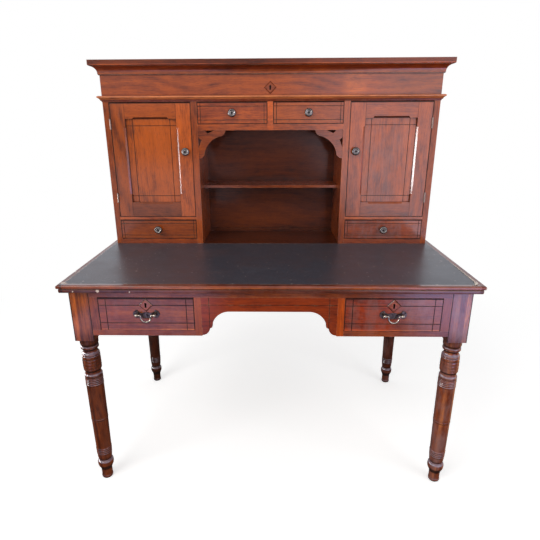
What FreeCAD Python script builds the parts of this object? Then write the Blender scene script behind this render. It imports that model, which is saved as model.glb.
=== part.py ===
import FreeCAD, Part
import os

# A clerks desk: a writing table on four turned legs that carries a hutch with
# two cupboards, an open bay, four small drawers and a lift-up top. The origin
# is on the floor under the middle of the desk, +Z is up and the front faces -Y.
# Every length is in millimetres. A value whose name ends in share or shares is
# a share of another size. In an outline, each row is (across share, up share,
# bend), and a bend other than zero makes the stretch that leads to the row an
# arc that bulges to the left of the way the outline is drawn.

Vector = FreeCAD.Vector
ORIGIN = Vector(0, 0, 0)
TO_RIGHT = Vector(1, 0, 0)
TO_BACK = Vector(0, 1, 0)
UPWARD = Vector(0, 0, 1)
FULL_TURN = 360

# Whole desk
desk_height = 762.0
overall_height = 1445.0
top_width = 1300.0
top_depth = 755.0
top_thickness = 26.0
top_rim = 17.0
leather_thickness = 1.2

# Fits
wood_gap = 1.0
top_gap = 2.5
slide_gap = 0.3
pin_gap = 0.05
turning_gap = 0.3
lid_gap = 0.3
overrun = 5.0

# Legs
leg_block = 62.0
leg_block_bottom = 562.0
leg_side_inset = 24.0
leg_front_inset = 27.0
leg_back_inset = 22.0
rear_leg_inset = 23.0
rear_leg_share = 0.92

# The turned part of a leg, from under its block down to the floor
leg_turning_shares = (
    (0.95, 1.000, 0), (0.94, 0.972, 0), (0.85, 0.958, 0.15), (0.84, 0.953, 0),
    (0.92, 0.946, 0.4), (0.92, 0.941, 0.1), (0.87, 0.935, 0.4), (0.74, 0.918, -0.3),
    (0.85, 0.905, -0.25), (0.91, 0.898, 0.4), (0.88, 0.890, 0.4), (0.93, 0.884, 0.4),
    (0.92, 0.871, 0.1), (0.88, 0.871, 0), (0.88, 0.866, 0), (0.93, 0.866, 0),
    (0.94, 0.849, 0.1), (0.92, 0.849, 0), (0.92, 0.846, 0), (0.94, 0.846, 0),
    (0.94, 0.829, 0.1), (0.92, 0.829, 0), (0.92, 0.826, 0), (0.94, 0.826, 0),
    (0.94, 0.809, 0.1), (0.92, 0.809, 0), (0.92, 0.806, 0), (0.93, 0.806, 0),
    (0.91, 0.794, 0.2), (0.83, 0.776, -0.25), (0.87, 0.767, -0.2), (0.92, 0.756, 0.35),
    (0.88, 0.748, 0.3), (0.88, 0.744, 0), (0.92, 0.744, 0), (0.92, 0.736, 0.2),
    (0.91, 0.725, 0.3), (0.91, 0.714, 0.3), (0.91, 0.702, 0.3), (0.92, 0.690, 0.3),
    (0.90, 0.462, 0), (0.86, 0.462, 0), (0.86, 0.455, 0), (0.90, 0.455, 0),
    (0.89, 0.443, 0.2), (0.86, 0.443, 0), (0.86, 0.440, 0), (0.88, 0.440, 0),
    (0.83, 0.235, 0), (0.82, 0.222, 0.3), (0.81, 0.209, 0.3), (0.80, 0.196, 0.3),
    (0.79, 0.183, 0.3), (0.77, 0.160, 0.05), (0.68, 0.142, 0.1), (0.72, 0.137, 0),
    (0.87, 0.120, 0.3), (0.87, 0.108, 0.1), (0.80, 0.092, 0.12), (0.62, 0.068, -0.05),
    (0.60, 0.060, -0.1), (0.59, 0.020, 0), (0.55, 0.000, 0.3),
)

# Front frame and aprons
rail_thickness = 24.0
top_rail_height = 22.0
low_rail_height = 19.0
table_drawer_height = 112.0
post_width = 26.0
stile_width = 22.0
kneehole_width = 426.0
kneehole_apron_thickness = 20.0
apron_thickness = 20.0
side_apron_setback = 2.0
back_apron_setback = 3.0
kneehole_shares = (
    (1.000, 1.00, 0), (1.000, 0.02, 0), (0.883, 0.20, 0.4),
    (0.850, 0.22, 0), (0.573, 0.64, -0.42),
)

# Runners of the table drawers
bearer_lap = 14.0
guide_height = 25.0

# Incised lines
line_width = 2.0
line_depth = 1.2
table_drawer_line_inset = 25.0
small_drawer_line_inset = 12.5
small_drawer_line_rise = 15.0
panel_line_inset = 25.0

# Table drawers
table_drawer_front_thickness = 20.0
table_drawer_length = 520.0
table_drawer_board = 11.0
table_drawer_side_height = 96.0
table_drawer_bottom_thickness = 6.0
table_drawer_bottom_lift = 8.0

# Small drawers
small_drawer_front_thickness = 18.0
small_drawer_board = 8.0
small_drawer_bottom_thickness = 5.0
small_drawer_bottom_lift = 5.0
small_drawer_side_drop = 8.0
small_drawer_back_room = 14.0

# Raised diamonds with a keyhole, and the locks behind them
diamond_half_width = 23.0
diamond_half_height = 22.8
diamond_thickness = 3.0
diamond_bevel_share = 0.8
keyhole_radius = 3.0
keyhole_slot_width = 4.4
keyhole_rise = 4.4
keyhole_slot_drop = 7.5
lock_width = 62.0
lock_height = 42.0
lock_depth = 11.0
table_diamond_drop = 25.6
frieze_diamond_share = 0.44

# Drop handles
handle_drop_share = 0.5
plate_half_width = 42.5
plate_half_height = 14.0
plate_thickness = 2.0
plate_nail_radius = 1.4
post_spread = 28.0
post_radius = 3.2
post_length = 11.0
post_ball_radius = 5.2
bail_radius = 2.6
bail_half_width = 16.6
bail_corner = 3.4
bail_leg = 2.2
bail_pin_reach = 1.5
handle_plate_shares = (
    (0.14, 0.46, 0), (0.42, 0.30, -0.25), (0.66, 1.00, -0.25), (1.00, 0.05, 0.35),
    (0.66, -0.95, 0.35), (0.45, -0.40, -0.3), (0.20, -1.00, 0.2),
)

# Knobs, from the face that carries them outwards
knob_radius = 15.0
knob_projection = 20.0
knob_shares = (
    (0.60, 0.00, 0), (0.60, 0.10, 0), (0.34, 0.20, 0.3), (0.34, 0.42, 0),
    (0.84, 0.55, 0.15), (1.00, 0.72, -0.3), (0.92, 0.90, -0.3), (0.72, 1.00, -0.2),
    (0.46, 0.90, 0.2), (0.28, 0.93, -0.2), (0.20, 0.80, 0),
)

# Hutch carcass
hutch_width = 1249.0
hutch_depth = 245.0
hutch_setback = 8.0
hutch_side = 21.5
hutch_partition = 23.0
hutch_back_thickness = 12.0
bay_width = 547.0
lower_drawer_floor = 20.0
lower_drawer_height = 79.0
cupboard_floor = 11.0
compartment_floor = 12.0
small_drawer_shelf = 22.0
upper_drawer_height = 80.0
drawer_divider = 21.0
open_shelf_share = 0.637
open_shelf_thickness = 10.0
open_shelf_setback = 81.0
bay_fillet_height = 12.0
bay_fillet_thickness = 10.0
shelf_pin_radius = 3.0
shelf_pin_embed = 10.0
shelf_pin_reach = 15.0
shelf_pin_inset = 20.0

# Fretted brackets in the upper corners of the bay, measured from the corner
bracket_reach = 104.0
bracket_thickness = 8.0
bracket_setback = 2.0
bracket_shares = (
    (0, 0, 0), (0.25, 0, 0), (0.34, 0.115, 0), (0.60, 0, 0), (1.0, 0, 0),
    (0.83, 0.21, -0.3), (0.80, 0.21, 0), (0.21, 0.80, 0.28), (0.21, 0.83, 0),
    (0, 1.0, -0.3), (0, 0.60, 0), (0.115, 0.34, 0), (0, 0.25, 0),
)

# Mouldings, from their upper inner corner down the outside
top_edge_shares = (
    (0, 1.0, 0), (0.75, 1.0, 0), (1.0, 0.77, 0.41), (0.82, 0.54, 0.41),
    (0.60, 0.54, 0), (0.60, 0.46, 0), (0.71, 0.46, 0), (0.71, 0.12, 0.08),
    (0.60, 0, 0.3), (0, 0, 0),
)
waist_height = 21.0
waist_projection = 15.0
waist_shares = (
    (0, 1.0, 0), (0.62, 1.0, 0), (1.0, 0.84, 0.3), (0.90, 0.68, 0.3),
    (0.34, 0.22, -0.25), (0.18, 0.22, 0), (0.10, 0, 0), (0, 0, 0),
)
frieze_height = 80.0
frieze_thickness = 18.0
cornice_height = 48.7
cornice_projection = 30.0
cornice_shares = (
    (0, 1.0, 0), (1.0, 1.0, 0), (1.0, 0.69, 0), (0.91, 0.61, 0.4), (0.84, 0.61, 0),
    (0.84, 0.585, 0), (0.18, 0.16, -0.36), (0.18, 0.08, 0), (0.14, 0.05, 0.3),
    (0.14, 0, 0), (0, 0, 0),
)
lid_board_thickness = 12.0
lid_rail_thickness = 18.0

# Doors
door_thickness = 20.0
door_hinge_stile = 54.5
door_lock_stile = 57.0
door_rail = 57.0
door_hinge_gap = 1.5
panel_thickness = 8.0
panel_recess = 10.0
panel_rebate = 8.0
panel_play = 0.5
chamfer_size = 6.0
chamfer_stop = 28.0

# Door knobs, each with a spindle and a tongue that turns behind the partition
door_knob_inset = 25.0
door_knob_share = 0.588
spindle_radius = 4.0
tongue_length = 34.0
tongue_width = 9.0
tongue_thickness = 3.0
tongue_gap = 0.6

# Butt hinges
hinge_height = 38.0
hinge_leaf_width = 16.0
hinge_leaf = 1.2
knuckle_radius = 3.0
knuckle_standoff = 3.2
hinge_pin_radius = 1.5
door_hinge_inset_share = 0.133
lid_hinge_inset_share = 0.36

# Levels and faces worked out from the sizes above
front_y = -top_depth / 2
rear_y = top_depth / 2
table_face_y = front_y + leg_front_inset
top_underside = desk_height - top_thickness
leg_x = top_width / 2 - leg_side_inset - leg_block / 2
leg_y = table_face_y + leg_block / 2
rear_block = leg_block * rear_leg_share
rear_leg_x = leg_x - rear_leg_inset
rear_leg_y = rear_y - leg_back_inset - rear_block / 2
leg_inner_x = leg_x - leg_block / 2
drawer_top = top_underside - top_rail_height
drawer_bottom = drawer_top - table_drawer_height
low_rail_bottom = drawer_bottom - low_rail_height
stile_in = kneehole_width / 2
stile_out = stile_in + stile_width
post_in = leg_inner_x - post_width
frame_back_y = table_face_y + rail_thickness
back_apron_back_y = rear_leg_y + rear_block / 2 - back_apron_setback
back_apron_front_y = back_apron_back_y - apron_thickness
table_drawer_x = (stile_out + post_in) / 2
table_lock_z = drawer_top - table_diamond_drop

hutch_half = hutch_width / 2
hutch_back_y = rear_y - hutch_setback
hutch_face_y = hutch_back_y - hutch_depth
bay_half = bay_width / 2
side_inner_x = hutch_half - hutch_side
partition_outer_x = bay_half + hutch_partition
back_board_y = hutch_back_y - hutch_back_thickness
lower_drawer_bottom = desk_height + lower_drawer_floor
lower_drawer_top = lower_drawer_bottom + lower_drawer_height
cupboard_bottom = lower_drawer_top + cupboard_floor
lid_board_bottom = overall_height - lid_board_thickness
lid_bottom = overall_height - cornice_height
frieze_top = lid_bottom - lid_gap
compartment_bottom = frieze_top - frieze_height
frieze_lock_z = compartment_bottom + frieze_height * frieze_diamond_share
cupboard_top = compartment_bottom - compartment_floor
upper_drawer_bottom = cupboard_top - upper_drawer_height
bay_top = upper_drawer_bottom - small_drawer_shelf
bracket_bottom = bay_top - bracket_reach
shelf_bottom = desk_height + (bracket_bottom - desk_height) * open_shelf_share

door_inner_x = partition_outer_x + wood_gap
door_outer_x = side_inner_x - door_hinge_gap
door_bottom = cupboard_bottom + wood_gap
door_top = cupboard_top - top_gap
door_height = door_top - door_bottom
door_hinge_inset = door_height * door_hinge_inset_share
door_knob_z = door_bottom + door_height * door_knob_share
opening_inner_x = door_inner_x + door_lock_stile
opening_outer_x = door_outer_x - door_hinge_stile
opening_bottom = door_bottom + door_rail
opening_top = door_top - door_rail
door_knob_x = door_inner_x + door_knob_inset


def board(x, y, z):
    """A box between the low and high value of each pair."""
    size = Vector(x[1] - x[0], y[1] - y[0], z[1] - z[0])
    return Part.makeBox(size.x, size.y, size.z, Vector(x[0], y[0], z[0]))


def across(half, y, z):
    """A board centred on the middle of the desk."""
    return board((-half, half), y, z)


def mirrored(shape):
    return shape.mirror(ORIGIN, TO_RIGHT)


def both(shape):
    """A right-hand shape and its mirror image on the left."""
    return [shape, mirrored(shape)]


def closed_face(points, bends, normal):
    """A face whose edge leading to each point is straight or bends."""
    edges = []
    for number, point in enumerate(points):
        start = points[number - 1]
        if bends[number]:
            sideways = (point - start).cross(normal) * (bends[number] / 2)
            middle = (start + point) / 2 + sideways
            edges.append(Part.Arc(start, middle, point).toShape())
        else:
            edges.append(Part.LineSegment(start, point).toShape())
    return Part.Face(Part.Wire(edges))


def outline_face(rows, width, height, corner=ORIGIN):
    """A face in the upright plane facing the front, from rows of shares."""
    points = [corner + Vector(row[0] * width, 0, row[1] * height) for row in rows]
    return closed_face(points, [row[2] for row in rows], TO_BACK)


def whole_outline(half_rows):
    """The rows of a symmetric outline, from those of its right half."""
    bends = [row[2] for row in half_rows[1:]] + [0]
    left = [(-row[0], row[1], bend) for row, bend in zip(half_rows, bends)]
    return list(half_rows) + left[::-1]


def upright_line(x, face_y, z):
    """A cutter for an incised line at x over the range z of a face at face_y."""
    half = line_width / 2
    depth = (face_y - overrun, face_y + line_depth)
    return board((x - half, x + half), depth, (z[0] - overrun, z[1] + overrun))


def level_line(x, face_y, z):
    """A cutter for an incised line at z over the range x of a face at face_y."""
    half = line_width / 2
    depth = (face_y - overrun, face_y + line_depth)
    return board((x[0] - overrun, x[1] + overrun), depth, (z - half, z + half))


def incise(piece, x, z, face_y, inset, rise):
    """Cuts lines right across a board, in from its ends by inset and from its long edges by rise."""
    for place in (x[0] + inset, x[1] - inset):
        piece = piece.cut(upright_line(place, face_y, z))
    for level in (z[0] + rise, z[1] - rise):
        piece = piece.cut(level_line(x, face_y, level))
    return piece


def mitred_strips(rows, projection, height, half_width, face_y, end_y, bottom_z):
    """A moulding round the front and both ends, mitred at the front corners."""
    section = outline_face(rows, projection, height)
    reach = half_width + projection
    tip_y = face_y - projection
    side_section = section.copy()
    side_section.translate(Vector(half_width, tip_y, bottom_z))
    side = side_section.extrude(Vector(0, end_y - tip_y, 0))
    front_section = section.copy()
    front_section.rotate(ORIGIN, UPWARD, -FULL_TURN / 4)
    front_section.translate(Vector(-reach, face_y, bottom_z))
    front = front_section.extrude(Vector(2 * reach, 0, 0))
    side_plan = [(half_width, face_y), (reach, tip_y), (reach, end_y), (half_width, end_y)]
    front_plan = [(-half_width, face_y), (half_width, face_y), (reach, tip_y), (-reach, tip_y)]
    side = side.common(plan_prism(side_plan, bottom_z, height))
    front = front.common(plan_prism(front_plan, bottom_z, height))
    return [front] + both(side)


def plan_prism(corners, bottom_z, height):
    points = [Vector(x, y, bottom_z) for x, y in corners]
    return closed_face(points, [0] * len(points), UPWARD).extrude(Vector(0, 0, height))


def turned_leg(x, y, share):
    """A square block over a turned shaft, with every width scaled by share."""
    half = leg_block * share / 2
    block = board((x - half, x + half), (y - half, y + half), (leg_block_bottom, top_underside))
    rows = ((0, 1, 0),) + leg_turning_shares + ((0, 0, 0),)
    shaft = outline_face(rows, half, leg_block_bottom).revolve(ORIGIN, UPWARD, FULL_TURN)
    shaft.translate(Vector(x, y, 0))
    return block.fuse(shaft).removeSplitter()


def aprons():
    outer_x = rear_leg_x + rear_block / 2 - side_apron_setback
    side_y = (leg_y + leg_block / 2, rear_leg_y - rear_block / 2)
    height = (low_rail_bottom, top_underside)
    side = board((outer_x - apron_thickness, outer_x), side_y, height)
    back_y = (back_apron_front_y, back_apron_back_y)
    back = across(rear_leg_x - rear_block / 2, back_y, height)
    return both(side) + [back]


def front_rails():
    depth = (table_face_y, frame_back_y)
    top = across(leg_inner_x, depth, (drawer_top, top_underside))
    low = board((stile_out, leg_inner_x), depth, (low_rail_bottom, drawer_bottom))
    return [top] + both(low)


def front_posts_and_stiles():
    depth = (table_face_y, frame_back_y)
    post = board((post_in, leg_inner_x), depth, (drawer_bottom, drawer_top))
    stile = board((stile_in, stile_out), depth, (low_rail_bottom, drawer_top))
    return both(post) + both(stile)


def kneehole_apron():
    """The shaped board over the knees, with incised lines near its edges."""
    height = drawer_top - low_rail_bottom
    rows = whole_outline(kneehole_shares)
    face = outline_face(rows, stile_in, height, Vector(0, table_face_y, low_rail_bottom))
    piece = face.extrude(Vector(0, kneehole_apron_thickness, 0))
    level = drawer_top - table_drawer_line_inset
    piece = piece.cut(level_line((-stile_in, stile_in), table_face_y, level))
    line = upright_line(stile_in - table_drawer_line_inset, table_face_y, (low_rail_bottom, drawer_top))
    for cutter in both(line):
        piece = piece.cut(cutter)
    return [piece]


def drawer_runners():
    """Bearers under the drawer sides, guides beside them and kickers over them."""
    pieces = []
    inner_y = (frame_back_y, back_apron_front_y)
    outer_y = (frame_back_y, rear_leg_y - rear_block / 2)
    runs = (
        ((stile_in, stile_out), (stile_in, stile_out + bearer_lap), inner_y),
        ((post_in, leg_inner_x), (post_in - bearer_lap, leg_inner_x), outer_y),
    )
    for guide_x, bearer_x, run_y in runs:
        pieces += both(board(bearer_x, run_y, (low_rail_bottom, drawer_bottom)))
        pieces += both(board(guide_x, run_y, (drawer_bottom, drawer_bottom + guide_height)))
        pieces += both(board(bearer_x, run_y, (drawer_top, top_underside)))
    return pieces


def table_top():
    """The core board, lower by the leather in front of the hutch."""
    half = top_width / 2 - top_rim
    core = across(half, (front_y + top_rim, rear_y), (top_underside, desk_height))
    recess_y = (front_y + top_rim - overrun, hutch_face_y)
    recess_z = (desk_height - leather_thickness, desk_height + overrun)
    return [core.cut(across(half + overrun, recess_y, recess_z))]


def writing_leather():
    skin_y = (front_y + top_rim, hutch_face_y)
    return [across(top_width / 2 - top_rim, skin_y, (desk_height - leather_thickness, desk_height))]


def top_edge_moulding():
    return mitred_strips(top_edge_shares, top_rim, top_thickness, top_width / 2 - top_rim,
                         front_y + top_rim, rear_y, top_underside)


def hinge_pocket(gap, side):
    """The recess for a leaf, in the hinge's own frame, on one side of the gap."""
    near = gap / 2
    far = near + hinge_leaf
    x = (near, far) if side > 0 else (-far, -near)
    return board(x, (knuckle_standoff, knuckle_standoff + hinge_leaf_width), (0, hinge_height))


def knuckle(radius, low_share, high_share):
    start = Vector(0, 0, hinge_height * low_share)
    return Part.makeCylinder(radius, hinge_height * (high_share - low_share), start)


def hinge_halves(gap):
    """The fixed half with the pin and the moving half, about the pin on the Z axis."""
    third = 1 / 3
    run_y = (0, knuckle_standoff + hinge_leaf_width)
    near = gap / 2
    fixed = board((near, near + hinge_leaf), run_y, (0, hinge_height))
    moving = board((-near - hinge_leaf, -near), run_y, (0, hinge_height))
    fixed = fixed.cut(knuckle(knuckle_radius + turning_gap, third, 2 * third))
    room = knuckle_radius + turning_gap
    for low, high in ((0, third), (2 * third, 1)):
        fixed = fixed.fuse(knuckle(knuckle_radius, low, high))
        moving = moving.cut(knuckle(room, low, high))
    fixed = fixed.fuse(knuckle(hinge_pin_radius, 0, 1))
    barrel = knuckle(knuckle_radius, third, 2 * third)
    slack = Vector(0, 0, turning_gap)
    barrel = barrel.common(Part.makeCylinder(room, hinge_height * third - 2 * turning_gap,
                                             Vector(0, 0, hinge_height * third) + slack))
    moving = moving.fuse(barrel).cut(knuckle(hinge_pin_radius + pin_gap, 0, 1))
    return fixed.removeSplitter(), moving.removeSplitter()


def door_hinge_places():
    """Where the pins of the right-hand door's two hinges start."""
    x = side_inner_x - door_hinge_gap / 2
    y = hutch_face_y - knuckle_standoff
    levels = (door_bottom + door_hinge_inset, door_top - door_hinge_inset - hinge_height)
    return [Vector(x, y, level) for level in levels]


def lid_hinge_placements():
    """Frames that lay the hinge along the back edge, its fixed side down."""
    turn = FreeCAD.Rotation(-UPWARD, -TO_BACK, -TO_RIGHT, "XYZ")
    y = hutch_back_y + knuckle_standoff
    places = []
    for side in (-1, 1):
        x = side * hutch_width * lid_hinge_inset_share + hinge_height / 2
        places.append(FreeCAD.Placement(Vector(x, y, frieze_top + lid_gap / 2), turn))
    return places


def placed(shape, placement):
    moved = shape.copy()
    moved.Placement = placement
    return moved


def at(shape, place):
    return placed(shape, FreeCAD.Placement(place, FreeCAD.Rotation()))


def hutch_sides():
    side = board((side_inner_x, hutch_half), (hutch_face_y, hutch_back_y), (desk_height, cupboard_top))
    for place in door_hinge_places():
        side = side.cut(at(hinge_pocket(door_hinge_gap, 1), place))
    return both(side)


def shelf_pin_places():
    level = shelf_bottom - shelf_pin_radius
    front = hutch_face_y + open_shelf_setback + shelf_pin_inset
    rear = back_board_y - shelf_pin_inset
    return [Vector(bay_half - shelf_pin_reach, y, level) for y in (front, rear)]


def shelf_pins():
    length = shelf_pin_reach + shelf_pin_embed
    pins = []
    for place in shelf_pin_places():
        pins += both(Part.makeCylinder(shelf_pin_radius, length, place, TO_RIGHT))
    return pins


def tongue_mortise():
    """The slot in a partition that a door's tongue turns into."""
    depth = tongue_length - door_knob_inset - wood_gap + tongue_gap
    inner_y = hutch_face_y + door_thickness
    y = (inner_y - tongue_gap, inner_y + tongue_thickness + 2 * tongue_gap)
    z = (door_knob_z - tongue_length, door_knob_z + tongue_width)
    return board((partition_outer_x - depth, partition_outer_x + overrun), y, z)


def hutch_partitions():
    wall_y = (hutch_face_y, back_board_y)
    wall = board((bay_half, partition_outer_x), wall_y, (desk_height, cupboard_top))
    for place in shelf_pin_places():
        length = shelf_pin_reach + shelf_pin_embed
        wall = wall.cut(Part.makeCylinder(shelf_pin_radius + pin_gap, length, place, TO_RIGHT))
    return both(wall.cut(tongue_mortise()))


def hutch_back():
    """The back board and the small fillet at the back of the open bay."""
    panel = across(side_inner_x, (back_board_y, hutch_back_y), (desk_height, cupboard_top))
    fillet_y = (back_board_y - bay_fillet_thickness, back_board_y)
    return [panel, across(bay_half, fillet_y, (desk_height, desk_height + bay_fillet_height))]


def cupboard_floors():
    """The floors under the lower drawers and under the cupboards."""
    x = (partition_outer_x, side_inner_x)
    y = (hutch_face_y, back_board_y)
    lower = board(x, y, (desk_height, lower_drawer_bottom))
    upper = board(x, y, (lower_drawer_top, cupboard_bottom))
    return both(lower) + both(upper)


def compartment_floor_board():
    return [across(hutch_half, (hutch_face_y, hutch_back_y), (cupboard_top, compartment_bottom))]


def small_drawer_shelf_boards():
    """The shelf under the two upper drawers and the divider between them."""
    y = (hutch_face_y, back_board_y)
    shelf = across(bay_half, y, (bay_top, upper_drawer_bottom))
    return [shelf, across(drawer_divider / 2, y, (upper_drawer_bottom, cupboard_top))]


def open_shelf():
    y = (hutch_face_y + open_shelf_setback, back_board_y)
    return [across(bay_half, y, (shelf_bottom, shelf_bottom + open_shelf_thickness))]


def fretted_brackets():
    corner = Vector(bay_half, hutch_face_y + bracket_setback, bay_top)
    rows = [(-row[0], -row[1], row[2]) for row in bracket_shares]
    face = outline_face(rows, bracket_reach, bracket_reach, corner)
    return both(face.extrude(Vector(0, bracket_thickness, 0)))


def box_frame(z, thickness):
    """Four boards round the hutch: front, back and the two ends between them."""
    front = across(hutch_half, (hutch_face_y, hutch_face_y + thickness), z)
    back = across(hutch_half, (hutch_back_y - thickness, hutch_back_y), z)
    end_y = (hutch_face_y + thickness, hutch_back_y - thickness)
    return front, back, both(board((hutch_half - thickness, hutch_half), end_y, z))


def keyhole(x, y, z, length):
    """A cutter for a keyhole that runs back from y."""
    eye = z + keyhole_rise
    hole = Part.makeCylinder(keyhole_radius, length, Vector(x, y, eye), TO_BACK)
    half = keyhole_slot_width / 2
    return hole.fuse(board((x - half, x + half), (y, y + length), (z - keyhole_slot_drop, eye)))


def diamond(x, face_y, z):
    """A raised diamond with bevelled edges and a keyhole through it."""
    wires = []
    for share, y in ((1, face_y), (diamond_bevel_share, face_y - diamond_thickness)):
        w = diamond_half_width * share
        h = diamond_half_height * share
        corners = [Vector(x - w, y, z), Vector(x, y, z + h), Vector(x + w, y, z), Vector(x, y, z - h)]
        wires.append(Part.makePolygon(corners + corners[:1]))
    raised = Part.makeLoft(wires, True, True)
    length = diamond_thickness + 2 * overrun
    return raised.cut(keyhole(x, face_y - diamond_thickness - overrun, z, length))


def lock_case(x, inner_y, z):
    half_w = lock_width / 2
    half_h = lock_height / 2
    return board((x - half_w, x + half_w), (inner_y, inner_y + lock_depth), (z - half_h, z + half_h))


def frieze_boards():
    front, back, ends = box_frame((compartment_bottom, frieze_top), frieze_thickness)
    front = front.cut(keyhole(0, hutch_face_y - overrun, frieze_lock_z,
                              frieze_thickness + 2 * overrun))
    for placement in lid_hinge_placements():
        back = back.cut(placed(hinge_pocket(lid_gap, 1), placement))
    return [front, back] + ends


def compartment_lock():
    z = frieze_lock_z
    return [diamond(0, hutch_face_y, z), lock_case(0, hutch_face_y + frieze_thickness, z)]


def waist_moulding():
    return mitred_strips(waist_shares, waist_projection, waist_height, hutch_half,
                         hutch_face_y, hutch_back_y, cupboard_top)


def lid_rails():
    front, back, ends = box_frame((lid_bottom, lid_board_bottom), lid_rail_thickness)
    for placement in lid_hinge_placements():
        back = back.cut(placed(hinge_pocket(lid_gap, -1), placement))
    return [front, back] + ends


def lid_board():
    return [across(hutch_half, (hutch_face_y, hutch_back_y), (lid_board_bottom, overall_height))]


def cornice_moulding():
    return mitred_strips(cornice_shares, cornice_projection, cornice_height, hutch_half,
                         hutch_face_y, hutch_back_y, lid_bottom)


def chamfer_tool(start, end, inward):
    """A cutter for a stopped chamfer along an edge, its ends sloping out at 45 degrees."""
    along = (end - start).normalize()
    depth = inward * (chamfer_size / 2 ** 0.5)
    slope = along * depth.Length
    normal = along.cross(inward)
    points = [start - depth - slope, end - depth + slope, end,
              end - slope + depth, start + slope + depth, start]
    side = normal * chamfer_size
    face = closed_face([point - side for point in points], [0] * len(points), normal)
    return face.extrude(side * 2)


def door_chamfers():
    """Cutters for the four stopped chamfers round a door's panel opening."""
    x = (opening_inner_x, opening_outer_x)
    z = (opening_bottom, opening_top)
    y = hutch_face_y
    diagonal = 0.5 ** 0.5
    tools = []
    for level, way in ((x[0], -1), (x[1], 1)):
        start = Vector(level, y, z[0] + chamfer_stop)
        end = Vector(level, y, z[1] - chamfer_stop)
        tools.append(chamfer_tool(start, end, Vector(way * diagonal, diagonal, 0)))
    for level, way in ((z[0], -1), (z[1], 1)):
        start = Vector(x[0] + chamfer_stop, y, level)
        end = Vector(x[1] - chamfer_stop, y, level)
        tools.append(chamfer_tool(start, end, Vector(0, diagonal, way * diagonal)))
    return tools


def door_frame():
    """Two stiles and two rails, rebated behind for the panel."""
    depth = (hutch_face_y, hutch_face_y + door_thickness)
    height = (door_bottom, door_top)
    opening_x = (opening_inner_x, opening_outer_x)
    lock_stile = board((door_inner_x, opening_inner_x), depth, height)
    hinge_stile = board((opening_outer_x, door_outer_x), depth, height)
    low_rail = board(opening_x, depth, (door_bottom, opening_bottom))
    high_rail = board(opening_x, depth, (opening_top, door_top))
    rebate = board((opening_inner_x - panel_rebate, opening_outer_x + panel_rebate),
                   (hutch_face_y + panel_recess, hutch_face_y + door_thickness + overrun),
                   (opening_bottom - panel_rebate, opening_top + panel_rebate))
    spindle_start = Vector(door_knob_x, hutch_face_y - overrun, door_knob_z)
    spindle_hole = Part.makeCylinder(spindle_radius + pin_gap, door_thickness + 2 * overrun,
                                     spindle_start, TO_BACK)
    lock_stile = lock_stile.cut(spindle_hole)
    for place in door_hinge_places():
        hinge_stile = hinge_stile.cut(at(hinge_pocket(door_hinge_gap, -1), place))
    pieces = [piece.cut(rebate) for piece in (lock_stile, hinge_stile, low_rail, high_rail)]
    for tool in door_chamfers():
        pieces = [piece.cut(tool) for piece in pieces]
    return pieces


def door_panel():
    lap = panel_rebate - panel_play
    x = (opening_inner_x - lap, opening_outer_x + lap)
    z = (opening_bottom - lap, opening_top + lap)
    face_y = hutch_face_y + panel_recess
    panel = board(x, (face_y, face_y + panel_thickness), z)
    return [incise(panel, x, z, face_y, panel_line_inset + lap, panel_line_inset + lap)]


def knob(x, face_y, z):
    """A turned knob whose foot stands on a face at face_y."""
    rows = ((0, 0, 0),) + knob_shares + ((0, knob_shares[-1][1], 0),)
    half = outline_face(rows, knob_radius, knob_projection)
    turned = half.revolve(ORIGIN, UPWARD, FULL_TURN)
    turned.rotate(ORIGIN, TO_RIGHT, FULL_TURN / 4)
    turned.translate(Vector(x, face_y, z))
    return turned


def door_knob():
    """A knob on its spindle, and the tongue that hangs at the spindle's inner end."""
    face_y = hutch_face_y - turning_gap
    tongue_y = hutch_face_y + door_thickness + tongue_gap / 2
    spindle = Part.makeCylinder(spindle_radius, tongue_y - face_y,
                                Vector(door_knob_x, face_y, door_knob_z), TO_BACK)
    handle = knob(door_knob_x, face_y, door_knob_z).fuse(spindle).removeSplitter()
    half = tongue_width / 2
    tongue = board((door_knob_x - half, door_knob_x + half), (tongue_y, tongue_y + tongue_thickness),
                   (door_knob_z - tongue_length, door_knob_z + half))
    return [handle, tongue]


def hinge_pieces(half_number):
    """The fixed halves, number 0, or the moving halves, number 1, of a door's hinges."""
    return [at(hinge_halves(door_hinge_gap)[half_number], place) for place in door_hinge_places()]


def lid_hinge_pieces(half_number):
    half = hinge_halves(lid_gap)[half_number]
    return [placed(half, placement) for placement in lid_hinge_placements()]


def drawer_box(x, y, z, wall, bottom_thickness, bottom_lift):
    """Two sides, a back between them and a bottom between all four walls."""
    inside_x = (x[0] + wall, x[1] - wall)
    left = board((x[0], x[0] + wall), y, z)
    right = board((x[1] - wall, x[1]), y, z)
    back = board(inside_x, (y[1] - wall, y[1]), z)
    bottom_z = z[0] + bottom_lift
    bottom = board(inside_x, (y[0], y[1] - wall), (bottom_z, bottom_z + bottom_thickness))
    return [left, right, back, bottom]


def table_drawer_front():
    x = (stile_out + wood_gap, post_in - wood_gap)
    z = (drawer_bottom + wood_gap, drawer_top - top_gap)
    front = board(x, (table_face_y, table_face_y + table_drawer_front_thickness), z)
    inset = table_drawer_line_inset - wood_gap
    front = incise(front, x, z, table_face_y, inset, inset)
    return [front.cut(keyhole(table_drawer_x, table_face_y - overrun, table_lock_z,
                              table_drawer_front_thickness + 2 * overrun))]


def table_drawer_box():
    start_y = table_face_y + table_drawer_front_thickness
    z = (drawer_bottom + slide_gap, drawer_bottom + slide_gap + table_drawer_side_height)
    return drawer_box((stile_out + wood_gap, post_in - wood_gap),
                      (start_y, start_y + table_drawer_length), z, table_drawer_board,
                      table_drawer_bottom_thickness, table_drawer_bottom_lift)


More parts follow.
